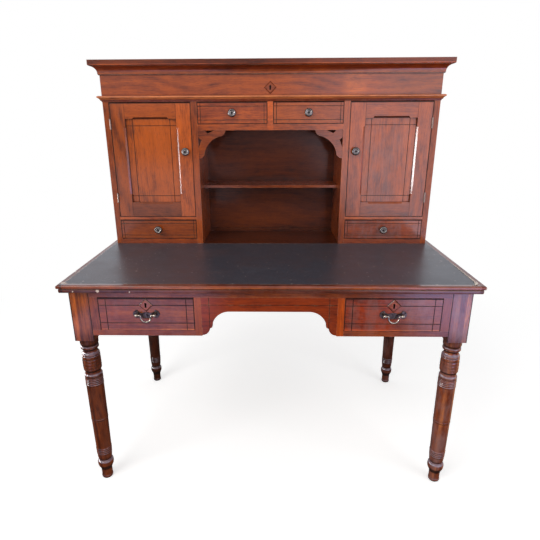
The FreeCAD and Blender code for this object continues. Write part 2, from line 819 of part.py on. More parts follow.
def table_drawer_lock():
    z = table_lock_z
    case_z = drawer_bottom + table_drawer_side_height - lock_height / 2
    inner_y = table_face_y + table_drawer_front_thickness
    return [diamond(table_drawer_x, table_face_y, z), lock_case(table_drawer_x, inner_y, case_z)]


def pivot_place():
    """The middle of the line through both posts that the bail turns about."""
    y = table_face_y - plate_thickness - post_length
    return Vector(table_drawer_x, y, drawer_bottom + table_drawer_height * handle_drop_share)


def handle_plate():
    """The shaped plate with its nail hole, and two posts with a blind hole each for the bail."""
    pivot = pivot_place()
    rows = whole_outline(handle_plate_shares)
    corner = Vector(pivot.x, table_face_y - plate_thickness, pivot.z)
    face = outline_face(rows, plate_half_width, plate_half_height, corner)
    nail_hole = Part.makeCylinder(plate_nail_radius, plate_thickness, corner, TO_BACK)
    pieces = [face.extrude(Vector(0, plate_thickness, 0)).cut(nail_hole)]
    depth = bail_pin_reach + 2 * slide_gap
    for side in (-1, 1):
        middle = pivot + Vector(side * post_spread, 0, 0)
        post = Part.makeSphere(post_ball_radius, middle)
        post = post.fuse(Part.makeCylinder(post_radius, post_length, middle, TO_BACK))
        way = TO_RIGHT * side
        start = middle - way * post_ball_radius
        hole = Part.makeCylinder(bail_radius + pin_gap, post_ball_radius + depth, start, way)
        pieces.append(post.cut(hole))
    return pieces


def bail():
    """A half ring whose ends turn outwards into the posts."""
    pivot = pivot_place()
    reach = post_spread + bail_pin_reach
    knee = bail_half_width + bail_corner
    drop = bail_corner + bail_leg
    bow = bail_half_width
    turn = bail_corner * (1 - 0.5 ** 0.5)
    right = [Vector(reach, 0, 0), Vector(knee, 0, 0), Vector(bow + turn, 0, -turn),
             Vector(bow, 0, -bail_corner), Vector(bow, 0, -drop)]
    left = [Vector(-point.x, 0, point.z) for point in right]
    edges = [
        Part.LineSegment(right[0], right[1]).toShape(),
        Part.Arc(right[1], right[2], right[3]).toShape(),
        Part.LineSegment(right[3], right[4]).toShape(),
        Part.Arc(right[4], Vector(0, 0, -drop - bow), left[4]).toShape(),
        Part.LineSegment(left[4], left[3]).toShape(),
        Part.Arc(left[3], left[2], left[1]).toShape(),
        Part.LineSegment(left[1], left[0]).toShape(),
    ]
    section = Part.Wire(Part.Circle(right[0], TO_RIGHT, bail_radius).toShape())
    ring = Part.Wire(edges).makePipeShell([section], True, False)
    ring.translate(pivot)
    return [ring]


def small_drawer(x, z):
    """The front, box and knob of a small drawer that fills an opening."""
    front_x = (x[0] + wood_gap, x[1] - wood_gap)
    front_z = (z[0] + wood_gap, z[1] - top_gap)
    start_y = hutch_face_y + small_drawer_front_thickness
    front = board(front_x, (hutch_face_y, start_y), front_z)
    front = incise(front, front_x, front_z, hutch_face_y, small_drawer_line_inset - wood_gap,
                   small_drawer_line_rise - wood_gap)
    box = drawer_box(front_x, (start_y, back_board_y - small_drawer_back_room),
                     (z[0] + slide_gap, z[1] - small_drawer_side_drop), small_drawer_board,
                     small_drawer_bottom_thickness, small_drawer_bottom_lift)
    turned = knob((x[0] + x[1]) / 2, hutch_face_y, (z[0] + z[1]) / 2)
    return {"front": [front], "box": box, "knob": [turned]}


def table_drawer():
    return {"front": table_drawer_front(), "box": table_drawer_box(), "lock": table_drawer_lock(),
            "handle": handle_plate(), "bail": bail()}


def door():
    return {"frame": door_frame(), "panel": door_panel(), "knob": door_knob(),
            "hinges": hinge_pieces(1)}


def fixed_nodes():
    """The nodes that aren't one of a left-hand and right-hand pair."""
    return {
        "aprons": aprons(),
        "front_rails": front_rails(),
        "front_posts_and_stiles": front_posts_and_stiles(),
        "kneehole_apron": kneehole_apron(),
        "drawer_runners": drawer_runners(),
        "table_top": table_top(),
        "top_edge_moulding": top_edge_moulding(),
        "writing_leather": writing_leather(),
        "hutch_sides": hutch_sides(),
        "hutch_partitions": hutch_partitions(),
        "hutch_back": hutch_back(),
        "cupboard_floors": cupboard_floors(),
        "compartment_floor": compartment_floor_board(),
        "small_drawer_shelf": small_drawer_shelf_boards(),
        "open_shelf": open_shelf(),
        "shelf_pins": shelf_pins(),
        "fretted_brackets": fretted_brackets(),
        "frieze_boards": frieze_boards(),
        "waist_moulding": waist_moulding(),
        "compartment_lock": compartment_lock(),
        "door_hinge_seats": hinge_pieces(0) + [mirrored(piece) for piece in hinge_pieces(0)],
        "lid_hinge_seats": lid_hinge_pieces(0),
        "lid_board": lid_board(),
        "lid_rails": lid_rails(),
        "cornice_moulding": cornice_moulding(),
        "lid_hinges": lid_hinge_pieces(1),
    }


def paired_nodes():
    """The right-hand node of each pair, by the words before and after its side."""
    pairs = {
        ("leg_front", ""): [turned_leg(leg_x, leg_y, 1)],
        ("leg_rear", ""): [turned_leg(rear_leg_x, rear_leg_y, rear_leg_share)],
    }
    lower = small_drawer((partition_outer_x, side_inner_x), (lower_drawer_bottom, lower_drawer_top))
    upper = small_drawer((drawer_divider / 2, bay_half), (upper_drawer_bottom, cupboard_top))
    groups = {"door": door(), "table_drawer": table_drawer(), "lower_drawer": lower,
              "upper_drawer": upper}
    for group, pieces in groups.items():
        for name, solids in pieces.items():
            pairs[(group, "_" + name)] = solids
    return pairs


def write_node(node, solids):
    shape = solids[0] if len(solids) == 1 else Part.makeCompound(solids)
    shape.exportStep(os.path.join("parts", node + ".step"))


def main():
    os.makedirs("parts", exist_ok=True)
    for node, solids in fixed_nodes().items():
        write_node(node, solids)
    for (before, after), solids in paired_nodes().items():
        write_node(before + "_right" + after, solids)
        write_node(before + "_left" + after, [mirrored(solid) for solid in solids])


main()
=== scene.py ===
"""Finishes for a clerks desk: varnished woods, a worn leather top, dark metal and a plain stage."""

import math
from types import SimpleNamespace

import bmesh
import bpy
from bpy.props import FloatProperty, FloatVectorProperty, PointerProperty
from mathutils import Matrix, Vector


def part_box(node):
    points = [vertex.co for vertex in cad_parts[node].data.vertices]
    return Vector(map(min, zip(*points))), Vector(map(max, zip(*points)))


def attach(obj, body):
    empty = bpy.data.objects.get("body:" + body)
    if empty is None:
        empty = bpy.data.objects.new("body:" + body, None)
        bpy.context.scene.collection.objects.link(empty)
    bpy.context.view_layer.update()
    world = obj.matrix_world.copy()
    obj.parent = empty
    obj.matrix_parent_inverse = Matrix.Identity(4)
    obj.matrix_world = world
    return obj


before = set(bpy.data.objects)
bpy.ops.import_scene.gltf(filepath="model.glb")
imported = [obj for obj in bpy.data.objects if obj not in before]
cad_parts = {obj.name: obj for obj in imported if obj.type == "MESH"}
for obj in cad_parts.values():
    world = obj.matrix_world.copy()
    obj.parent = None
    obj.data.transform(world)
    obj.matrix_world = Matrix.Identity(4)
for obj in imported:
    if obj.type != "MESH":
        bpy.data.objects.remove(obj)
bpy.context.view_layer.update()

bl_info = {
    "name": "Clerks Desk Finishes",
    "version": (1, 0, 0),
    "blender": (4, 5, 0),
    "location": "View3D > Sidebar > Desk",
    "description": "Varnished wood, worn leather and dark metal for a clerks desk, with its stage",
    "category": "Object",
}

FLOAT = "NodeSocketFloat"
COLOUR = "NodeSocketColor"
VECTOR = "NodeSocketVector"
X, Y, Z = 0, 1, 2
ORIGIN = (0.0, 0.0, 0.0)
WHITE = (1.0, 1.0, 1.0)
SHARP = 0.0005
LINE_SOFT = 0.0006
LINE_FLOOR = 0.0011
DIAMOND_HALF = 0.0229
KEYHOLE_RISE = 0.0044
KNOB_FACE = (0.0136, 0.0122)
KNOB_EYE = (0.0028, 0.0046)


def shade(red, green, blue):
    """A linear colour from the 0 to 255 levels that a picture editor shows."""
    levels = (red / 255, green / 255, blue / 255)
    return tuple(level / 12.92 if level <= 0.04045 else ((level + 0.055) / 1.055) ** 2.4 for level in levels)


def between(share, first, second):
    """A colour that lies a share of the way from the first to the second."""
    return tuple(a + (b - a) * share for a, b in zip(first, second))


def scaled(colour, level):
    return tuple(part * level for part in colour)


# Settings

def tone(name, use, *levels):
    """A setting for a colour, its default given in levels from 0 to 255."""
    return FloatVectorProperty(
        name=name, description="Colour of " + use, default=shade(*levels), subtype="COLOR")


def camera_angle(name, lean, angle):
    return FloatProperty(name=name, description="How far the camera " + lean, default=angle, subtype="ANGLE")


def light_power(name, light, power):
    return FloatProperty(name=name, description="Power of the " + light, default=power, unit="POWER")


class DeskStageSettings(bpy.types.PropertyGroup):
    """The camera, the lights and the floor."""

    lens: FloatProperty(
        name="Lens", description="Focal length on a 36 mm sensor", default=29.9, min=10, max=200)
    side_shift: FloatProperty(
        name="Side Shift", description="How far the view is shifted sideways", default=0.0101)
    camera_place: FloatVectorProperty(
        name="Camera Place", description="Where the camera stands", default=(0.01385, -1.64212, 1.23013),
        subtype="TRANSLATION", unit="LENGTH", precision=4)
    heading: camera_angle("Heading", "looks to the right", -0.0214)
    tilt: camera_angle("Tilt", "looks down", 0.3181)
    roll: camera_angle("Roll", "leans", -0.0046)
    sky: FloatProperty(name="Sky", description="Level of the plain light from all round", default=0.46, min=0)
    key_power: light_power("Key Light", "large light above on the left", 62)
    fill_power: light_power("Fill Light", "large light on the right", 30)
    window_power: light_power("Window Light", "windows that only polish mirrors", 60)
    floor_colour: FloatVectorProperty(
        name="Floor", description="Colour of the floor", default=(0.93, 0.93, 0.93), subtype="COLOR")
    sheen_colour: FloatVectorProperty(
        name="Floor Shine", description="Colour of the floor as polished wood mirrors it",
        default=(1.3, 1.35, 2.6), subtype="COLOR", max=4)


class DeskWoodSettings(bpy.types.PropertyGroup):
    """The colours of the woods and the state of their varnish."""

    orange_wood: tone("Orange Wood", "the warmest boards", 182, 84, 22)
    red_wood: tone("Red Wood", "the reddest boards", 132, 52, 24)
    deep_wood: tone("Deep Wood", "the dark part of the figure", 72, 26, 12)
    bare_wood: tone("Bare Wood", "worn edges", 206, 158, 122)
    inner_wood: tone("Inner Wood", "the unpolished boards inside", 158, 112, 70)
    # This dark colour stands both for old wax and for painted shade in corners, gaps, grooves and under
    # mouldings.
    grime: tone("Grime", "old wax in grooves and corners", 26, 10, 7)
    # This haze colour also serves as painted sheen, laid most thickly on the pieces at the right.
    bloom: tone("Bloom", "the greyish haze on old varnish", 142, 104, 100)
    # On the upward faces of the turnings this pale film is also a painted highlight.
    haze: tone("Dust Haze", "the pale film on the ledges of the turnings", 150, 142, 164)
    chipped: tone("Chipped Wood", "fresh chips", 226, 204, 186)


class DeskLeatherSettings(bpy.types.PropertyGroup):
    """The writing leather."""

    leather: tone("Leather", "the dyed leather", 58, 61, 70)
    rubbed: tone("Rubbed Leather", "the leather where the dye is rubbed thin", 74, 58, 58)
    torn: tone("Torn Leather", "the bare hide at torn edges", 232, 222, 212)


class DeskMetalSettings(bpy.types.PropertyGroup):
    """The metal parts."""

    gunmetal: tone("Gunmetal", "the knobs", 112, 106, 102)
    bronze: tone("Bronze", "the handle plates", 118, 102, 94)
    brass: tone("Old Brass", "the drop handles where fingers polish them", 176, 163, 148)
    steel: tone("Steel", "the hinges and pins", 158, 134, 122)
    tarnish: tone("Tarnish", "the dark film on old metal", 38, 30, 28)


# Node building

def feed(socket, value):
    """Links a socket to a signal, or sets its plain value."""
    if isinstance(value, Signal):
        value.tree.links.new(value.socket, socket)
    elif socket.type == "RGBA" and len(value) == 3:
        socket.default_value = (*value, 1)
    else:
        socket.default_value = value


def add_node(tree, kind, inputs=None, **settings):
    made = tree.nodes.new(kind)
    for name, value in settings.items():
        setattr(made, name, value)
    for name, value in (inputs or {}).items():
        feed(made.inputs[name], value)
    return made


def signal(tree, kind, output=0, inputs=None, **settings):
    """One output of a new node."""
    return Signal(add_node(tree, kind, inputs, **settings).outputs[output])


class Signal:
    """An output of a shader node, which can be reckoned with like a number."""

    def __init__(self, socket):
        self.socket = socket
        self.tree = socket.id_data

    def maths(self, operation, other=0.0):
        return signal(self.tree, "ShaderNodeMath", 0, {0: self, 1: other}, operation=operation)

    def maths_after(self, operation, first):
        """A calculation in which this signal comes second."""
        return signal(self.tree, "ShaderNodeMath", 0, {0: first, 1: self}, operation=operation)

    def __add__(self, other):
        return self.maths("ADD", other)

    def __sub__(self, other):
        return self.maths("SUBTRACT", other)

    def __rsub__(self, other):
        return self.maths_after("SUBTRACT", other)

    def __mul__(self, other):
        return self.maths("MULTIPLY", other)

    def __rtruediv__(self, other):
        return self.maths_after("DIVIDE", other)

    def __abs__(self):
        return self.maths("ABSOLUTE")

    def __gt__(self, other):
        return self.maths("GREATER_THAN", other)

    def __lt__(self, other):
        return self.maths("LESS_THAN", other)

    def ramp(self, low, high, to_low=0.0, to_high=1.0):
        """The signal brought from one range to another, smoothly and never past its ends."""
        inputs = {"Value": self, "From Min": low, "From Max": high, "To Min": to_low, "To Max": to_high}
        return signal(self.tree, "ShaderNodeMapRange", 0, inputs, interpolation_type="SMOOTHSTEP")

    def near(self, middle, half, soft):
        """A mask that is high where the signal lies within half of the middle."""
        return abs(self - middle).ramp(half + soft, half)

    def blend(self, first, second):
        """A number between two others."""
        return signal(self.tree, "ShaderNodeMix", 0, {0: self, 2: first, 3: second}, data_type="FLOAT")

    def mix(self, first, second):
        """A colour between two others."""
        return signal(self.tree, "ShaderNodeMix", 2, {0: self, 6: first, 7: second}, data_type="RGBA")

    def tinted(self, tint, share=1.0):
        """The colour multiplied by another one, wholly or by a share."""
        inputs = {0: share, 6: self, 7: tint}
        return signal(self.tree, "ShaderNodeMix", 2, inputs, data_type="RGBA", blend_type="MULTIPLY")

    def vector_maths(self, operation, other=ORIGIN, output=0):
        return signal(self.tree, "ShaderNodeVectorMath", output, {0: self, 1: other}, operation=operation)

    def stretch(self, *by):
        return self.vector_maths("MULTIPLY", by)

    def length(self):
        return self.vector_maths("LENGTH", output="Value")

    def away(self, point):
        """How far a place is from a point."""
        return self.vector_maths("DISTANCE", point, "Value")

    def parts(self):
        return [Signal(part) for part in add_node(self.tree, "ShaderNodeSeparateXYZ", {0: self}).outputs]

    def noise(self, scale, detail=2.0, roughness=0.5, distortion=0.0):
        inputs = {"Vector": self, "Scale": scale, "Detail": detail, "Roughness": roughness,
                  "Distortion": distortion}
        return signal(self.tree, "ShaderNodeTexNoise", "Fac", inputs)


def most(masks):
    """The largest of several masks."""
    found, *others = masks
    for mask in others:
        found = found.maths("MAXIMUM", mask)
    return found


def combine(tree, x, y, z):
    return signal(tree, "ShaderNodeCombineXYZ", 0, {0: x, 1: y, 2: z})


def place_in(tree):
    """The point on the piece, in the desk's own frame."""
    return signal(tree, "ShaderNodeTexCoord", "Object")


def normal_in(tree):
    return signal(tree, "ShaderNodeNewGeometry", "Normal")


def socket_kind(value):
    if isinstance(value, tuple):
        return COLOUR if len(value) == 4 else VECTOR
    return FLOAT


def title(name):
    return name.replace("_", " ").title()


def fill_group(fill, defaults):
    """A node group with inputs after the defaults and outputs after what the function gives back."""
    tree = bpy.data.node_groups.new(fill.__name__, "ShaderNodeTree")
    for name, value in defaults.items():
        made = tree.interface.new_socket(name=title(name), in_out="INPUT", socket_type=socket_kind(value))
        made.default_value = value
    given = add_node(tree, "NodeGroupInput").outputs
    results = fill(tree, **{name: Signal(given[title(name)]) for name in defaults})
    for name in results:
        kind = {"Color": COLOUR, "Vector": VECTOR}.get(name, FLOAT)
        tree.interface.new_socket(name=name, in_out="OUTPUT", socket_type=kind)
    add_node(tree, "NodeGroupOutput", results)
    return tree


def shared(**defaults):
    """Turns a function that fills a node group into one that adds the group to a tree."""
    def prepare(fill):
        def use(tree, **values):
            group = bpy.data.node_groups.get(fill.__name__) or fill_group(fill, defaults)
            inputs = {title(name): value for name, value in values.items()}
            outputs = add_node(tree, "ShaderNodeGroup", inputs, node_tree=group).outputs
            signals = [Signal(output) for output in outputs]
            return signals[0] if len(signals) == 1 else signals
        return use
    return prepare


# Shared effects

@shared(upright=0.0, lengthwise=0.0, seed=0.0)
def board_space(tree, upright, lengthwise, seed):
    """Places along, across and into a board, for grain that runs along it."""
    x, y, z = place_in(tree).parts()
    along = lengthwise.blend(upright.blend(x, z), y)
    across = lengthwise.blend(upright.blend(z, x), x)
    depth = lengthwise.blend(y, z)
    return {"Vector": combine(tree, along + seed * 1.73, across + seed * 0.61, depth + seed * 0.37)}


@shared(vector=ORIGIN, pale=(0.5, 0.2, 0.1, 1), middle=(0.3, 0.1, 0.05, 1), dark=(0.1, 0.03, 0.02, 1),
        patches=0.5, figure=0.3, streaks=0.3, pores=0.3, tilt=0.2, ring_width=0.016, mottle=0.5)
def wood_figure(tree, vector, pale, middle, dark, patches, figure, streaks, pores, tilt, ring_width, mottle):
    """Colour, gloss and relief of a sawn board, with rings, streaks and open pores."""
    clouds = vector.stretch(0.8, 3.0, 3.0).noise(2.6, 3, 0.55, 0.6)
    sway = vector.stretch(1.0, 1.6, 1.6).noise(3.1, 1) - 0.5
    along, across, depth = vector.parts()
    ring_space = combine(tree, along * 0.1, sway * 0.16 + across, along * tilt + depth)
    fibre_space = combine(tree, along, sway * 0.05 + across, depth)
    rings = signal(tree, "ShaderNodeTexWave", "Fac", {
        "Vector": ring_space, "Scale": math.tau / 20 / ring_width, "Distortion": 3.2, "Detail": 4.0,
        "Detail Scale": 0.5, "Detail Roughness": 0.7},
        wave_type="RINGS", rings_direction="X", wave_profile="SIN")
    bands = fibre_space.stretch(4.0, 70.0, 70.0).noise(1.0, 4, 0.7, 0.3)
    fibres = fibre_space.stretch(16.0, 330.0, 330.0).noise(1.0, 2, 0.7)
    open_pores = fibre_space.stretch(55.0, 620.0, 620.0).noise(1.0, 1).ramp(0.6, 0.7) * pores
    blotches = vector.stretch(24.0, 34.0, 34.0).noise(1.0, 3, 0.6)
    level = (clouds - 0.5) * (patches * 2.2) + 0.55
    for pattern, share in ((rings, figure), (bands, streaks * 2.0), (fibres, 1.25), (blotches, mottle)):
        level = (pattern - 0.5) * share + level
    darker = level.ramp(-0.1, 0.5).mix(dark, middle)
    colour = level.ramp(0.4, 1.0).mix(darker, pale)
    smears = vector.stretch(6.0, 14.0, 14.0).noise(1.0, 3)
    return {"Color": open_pores.mix(colour, dark),
            "Roughness": smears * 0.22 + 0.24 + open_pores * 0.25,
            "Height": fibres * 0.35 + bands * 0.2 - open_pores * 0.8}


@shared(width=0.002, amount=0.5, seed=0.0)
def edge_wear(tree, width, amount, seed):
    """A mask that is high where an outer edge is rubbed."""
    rounded = signal(tree, "ShaderNodeBevel", 0, {"Radius": width}, samples=4)
    turned = 1.0 - rounded.vector_maths("DOT_PRODUCT", normal_in(tree), "Value")
    broken = place_in(tree).vector_maths("ADD", seed).noise(38.0, 4, 0.65) + amount * 0.34
    return {"Mask": turned.ramp(0.02, 0.16) * broken.ramp(0.52, 0.78)}


@shared(reach=0.01, amount=0.6)
def corner_grime(tree, reach, amount):
    """A mask from ambient occlusion, high in corners and under mouldings: painted shade there, with the old
    wax and dust that gather there.
    """
    openness = signal(tree, "ShaderNodeAmbientOcclusion", "AO", {"Distance": reach}, samples=5)
    broken = place_in(tree).noise(60.0, 3, 0.6)
    return {"Mask": openness.ramp(0.82, 0.32) * amount * broken.ramp(0.2, 0.6, 0.65, 1.0)}


@shared(low=ORIGIN, high=(1.0, 1.0, 1.0), width=0.002, top_width=0.002)
def gap_shade_rim(tree, low, high, width, top_width):
    """A mask that is high along the outline of a board's face: painted shade in the gap round it, wider at
    the top, where the shadow under a rail or moulding falls.
    """
    place = place_in(tree)
    x, _, z = place.parts()
    low_x, _, low_z = low.parts()
    high_x, _, high_z = high.parts()
    ragged = (place.noise(85.0, 3, 0.6) - 0.5) * 0.0016
    gaps = ((x - low_x, width), (high_x - x, width), (z - low_z, width), (high_z - z, top_width))
    lines = [(gap + ragged).ramp(reach, reach * 0.45) for gap, reach in gaps]
    return {"Mask": most(lines) * abs(normal_in(tree).parts()[Y]).ramp(0.4, 0.65)}


@shared(vector=ORIGIN, spacing=0.03, size=0.06, share=0.3)
def specks(tree, vector, spacing, size, share):
    """A mask of small scattered spots, each a few millimetres across at most."""
    scale = 1.0 / spacing
    cells = add_node(tree, "ShaderNodeTexVoronoi", {"Vector": vector, "Scale": scale}, feature="F1",
                     voronoi_dimensions="2D").outputs
    chance, pick, _ = Signal(cells["Color"]).parts()
    reach = (vector.noise(scale * 9.0, 2) - 0.5) * size + Signal(cells["Distance"])
    return {"Mask": (reach < size * chance.ramp(0.0, 1.0, 0.35, 1.0)) * (pick < share)}


@shared(vector=ORIGIN, amount=0.4)
def scratches(tree, vector, amount):
    """A mask of thin scratches that lie in three slanting families."""
    masks = []
    for number, turn in enumerate((0.35, -0.9, 1.35)):
        rotated = signal(tree, "ShaderNodeVectorRotate", 0, {"Vector": vector, "Angle": turn},
                         rotation_type="Z_AXIS")
        lines = rotated.stretch(5.0, 160.0, 5.0).noise(1.0 + number * 0.3, 1)
        gaps = rotated.noise(4.0 + number, 2)
        masks.append(abs(lines - 0.5).ramp(0.012, 0.0) * gaps.ramp(0.56, 0.7))
    return {"Mask": most(masks) * amount}


@shared(metal=(0.3, 0.3, 0.3, 1), film=(0.02, 0.02, 0.02, 1), cover=0.5, seed=0.0)
def metal_patina(tree, metal, film, cover, seed):
    """Colour, roughness and relief of old cast metal under a dark film."""
    place = place_in(tree).vector_maths("ADD", seed)
    cloud = place.noise(130.0, 4, 0.6)
    fine = place.noise(900.0, 2)
    edge = 1.0 - cover
    covered = (cloud + fine * 0.15).ramp(edge - 0.14, edge + 0.3)
    return {"Color": covered.mix(metal, film), "Roughness": covered * 0.24 + 0.26,
            "Height": cloud * 0.6 + fine * 0.4}


# Materials

def empty_tree(owner):
    owner.use_nodes = True
    owner.node_tree.nodes.clear()
    return owner.node_tree


def new_material(name, coat=0.0, coat_roughness=0.1, specular=0.5):
    """A material with a Principled shader whose plain values are set on its own sockets."""
    material = bpy.data.materials.new(name)
    tree = empty_tree(material)
    shader = add_node(tree, "ShaderNodeBsdfPrincipled", {
        "Coat Weight": coat, "Coat Roughness": coat_roughness, "Specular IOR Level": specular})
    add_node(tree, "ShaderNodeOutputMaterial", {"Surface": Signal(shader.outputs[0])})
    return material, tree, shader.inputs


def raise_surface(shader, height, distance):
    inputs = {"Height": height, "Distance": distance, "Strength": 1.0}
    feed(shader["Normal"], signal(height.tree, "ShaderNodeBump", 0, inputs))


def spot(place, centre, radius):
    """A mask of a ragged spot round a point."""
    ragged = (place.noise(260.0, 3, 0.7) - 0.5) * (radius * 1.6) + place.away(centre)
    return ragged.ramp(radius, radius * 0.7)


# What a wood looks like unless its piece says otherwise.
# strips: (axis, middle, half width, share, tint); washes: (axis, middle, half width, softness, tint)
# matt: (axis, middle, half width, share of the coat that is lost); lines: (low, high, inset, rise)
# around: (half width, front, back) of a mitred frame; opening: (inner, outer, top, face) of a door's hole
# line_face: the face that lines are cut into; diamond: (x, z, depth); boards: a door's stiles and rails
LOOK = {
    "warmth": 0.5, "level": 1.0, "figure": 0.18, "streaks": 0.58, "mottle": 1.1, "pores": 0.6,
    "tilt": 0.2, "ring_width": 0.016, "upright": 0.0, "around": None, "seed": 0.0, "wear": 0.35, "grime": 0.7,
    "line_face": None, "rim": None, "rim_width": 0.0028, "rim_top": 0.0034, "rim_bottom": True, "coat": 1.0,
    "coat_roughness": 0.13, "rough": 0.0, "chips": (), "strips": (), "washes": (), "matt": (), "boards": None,
    "plain": None, "diamond": None, "bloom": 0.0, "lines": None, "line_half": 0.0013, "line_share": 0.8,
    "reach": 0.009, "opening": None, "fineness": 1.0, "ledges": None,
}


def runs_back(x, y, around):
    """One on boards that run from front to back, with mitres at the corners of a box."""
    half, front, back = around
    inward = 1.0
    if front is not None:
        inward = (y - front).maths("MINIMUM", inward)
    if back is not None:
        inward = (back - y).maths("MINIMUM", inward)
    return abs(x) - half + inward > 0.0


def door_boards(x, z, boards, figure):
    """Of a door's stiles and rails: which stand upright, their seeds, figures, levels and joints."""
    side = abs(x)
    on_hinge = side > boards.outer
    upper = z > boards.middle
    upright = most([side < boards.inner, on_hinge])
    seed = upright * 3.3 + x.maths("SIGN") * 1.9 + upper * (1.0 - upright) * 2.2 + on_hinge * 1.4
    lock, hinge, top, bottom = boards.levels
    level = upright.blend(upper.blend(bottom, top), on_hinge.blend(lock, hinge))
    joints = most([side.near(edge, 0.0004, LINE_SOFT) for edge in (boards.inner, boards.outer)])
    return upright, seed, on_hinge * boards.figure + figure, level, joints


def incised_lines(x, y, z, look):
    """A mask along the lines that are cut along the edges of a board's face, painted dark as the shade in
    those grooves.
    """
    low, high, inset, rise = look.lines
    across = abs(x - (low.x + high.x) / 2).near((high.x - low.x) / 2 - inset, look.line_half, LINE_SOFT)
    level = abs(z - (low.z + high.z) / 2).near((high.z - low.z) / 2 - rise, look.line_half, LINE_SOFT)
    return most([across, level]) * (y < low.y + 0.002) * look.line_share


def diamond_lines(x, z, middle_x, middle_z, depth):
    """A mask of the dark outline of a raised diamond and of its keyhole: painted shade round its raised edge,
    along its bevel and in the keyhole.
    """
    across = abs(x - middle_x)
    rise = z - middle_z
    reach = (across + abs(rise)) * (1 / DIAMOND_HALF)
    outline = most([reach.ramp(0.86, 0.93) * depth, reach.near(0.77, 0.02, 0.03) * (0.6 * depth)])
    eye = combine(x.tree, across, 0.0, rise - KEYHOLE_RISE).length()
    slot = across.ramp(0.0032, 0.0026) * rise.near(-0.0018, 0.0062, LINE_SOFT)
    return most([outline, eye.ramp(0.0038, 0.0034), slot])


def wood_material(name, **changes):
    """Varnished wood. What isn't given follows the common look."""
    look = SimpleNamespace(**{**LOOK, **changes})
    palette = bpy.context.scene.desk_wood
    middle = scaled(look.plain or between(look.warmth, palette.red_wood, palette.orange_wood), look.level)
    pale = between(0.5, middle, scaled(look.plain or palette.orange_wood, 1.35 * look.level))
    dark = between(0.3, scaled(palette.deep_wood, look.level), middle)
    material, tree, shader = new_material(name, look.coat, look.coat_roughness, 0.2)
    place = place_in(tree)
    x, y, z = point = place.parts()
    worn = edge_wear(tree, width=0.0022, amount=look.wear, seed=look.seed)
    shade_and_dirt_masks = [corner_grime(tree, reach=look.reach, amount=look.grime)]

    upright, seed, figure, board_level = look.upright, look.seed, look.figure, None
    if look.boards:
        upright, seed, figure, board_level, joints = door_boards(x, z, look.boards, look.figure)
        shade_and_dirt_masks.append(joints * 0.75)
    lengthwise = runs_back(x, y, look.around) if look.around else 0.0
    space = board_space(tree, upright=upright, lengthwise=lengthwise, seed=seed)
    colour, gloss, relief = wood_figure(
        tree, vector=space.stretch(1.0, look.fineness, look.fineness), pale=pale, middle=middle, dark=dark,
        patches=0.9, figure=figure, streaks=look.streaks, pores=look.pores, tilt=look.tilt,
        ring_width=look.ring_width, mottle=look.mottle)

    for axis, at, half, share, tint in look.strips:
        colour = colour.tinted(tint, point[axis].near(at, half, SHARP) * share)
    for axis, at, half, soft, tint in look.washes:
        colour = colour.tinted(tint, point[axis].near(at, half, soft))
    if board_level:
        colour = colour.tinted(board_level)
    # A pale varnish haze in clouds, partly a painted sheen.
    if look.bloom:
        cloud = place.stretch(20.0, 20.0, 9.0).noise(1.0, 4, 0.65).ramp(0.35, 0.7)
        colour = (cloud * look.bloom).mix(colour, palette.bloom)
    colour = (worn * 0.5).mix(colour, palette.bare_wood)
    if look.chips:
        chips = most([spot(place, centre, radius) for centre, radius in look.chips])
        colour = (chips * 0.85).mix(colour, palette.chipped)

    if look.lines:
        shade_and_dirt_masks.append(incised_lines(x, y, z, look))
    # Where the stopped chamfers end under the top rail, the sunk part is painted dark: painted shade under
    # the rail.
    if look.opening:
        inner, outer, top, face = look.opening
        chamfer_height = 0.009
        side = abs(abs(x) - (inner + outer) / 2)
        past = z + (0.001 - top)
        sunk = y > face + 0.0007
        ends = (past > 0.0) * (past < chamfer_height) * (side < (outer - inner) / 2 + SHARP)
        shade_and_dirt_masks.append(sunk * ends * 0.8)
        relief = relief * (1.0 - sunk)
    if look.rim:
        low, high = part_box(look.rim)
        if not look.rim_bottom:
            past_the_face = 0.006
            low = Vector((low.x, low.y, low.z - past_the_face))
        rim = gap_shade_rim(tree, low=tuple(low), high=tuple(high), width=look.rim_width, top_width=look.rim_top)
        shade_and_dirt_masks.append(rim * 0.92)
    # The floor of the cut lines is painted dark: painted shade in the grooves.
    if look.line_face is not None:
        shade_and_dirt_masks.append(y.near(look.line_face + LINE_FLOOR, 0.0004, 0.0002) * 0.85)
    if look.diamond:
        shade_and_dirt_masks.append(diamond_lines(x, z, *look.diamond))
    # Upward faces are painted paler, a painted highlight with some dust, and downward faces darker, a painted
    # shade.
    if look.ledges:
        facing = normal_in(tree).parts()[Z]
        colour = (facing.ramp(0.12, 0.6) * look.ledges).mix(colour, palette.haze)
        shade_and_dirt_masks.append(facing.ramp(-0.06, -0.35) * 0.85)
    # All these masks darken towards the old-wax colour: real dark joints and wax, and painted shade in
    # corners, gaps, grooves and under mouldings.
    shade_and_dirt = most(shade_and_dirt_masks)

    feed(shader["Base Color"], shade_and_dirt.mix(colour, palette.grime))
    if look.coat:
        matt = [point[axis].near(at, half, SHARP) * share for axis, at, half, share in look.matt]
        feed(shader["Coat Weight"], most([shade_and_dirt * 0.85, *matt]) * -look.coat + look.coat)
    feed(shader["Roughness"], gloss + look.rough + worn * 0.3 + shade_and_dirt * 0.25)
    raise_surface(shader, relief, 0.00025)
    return material


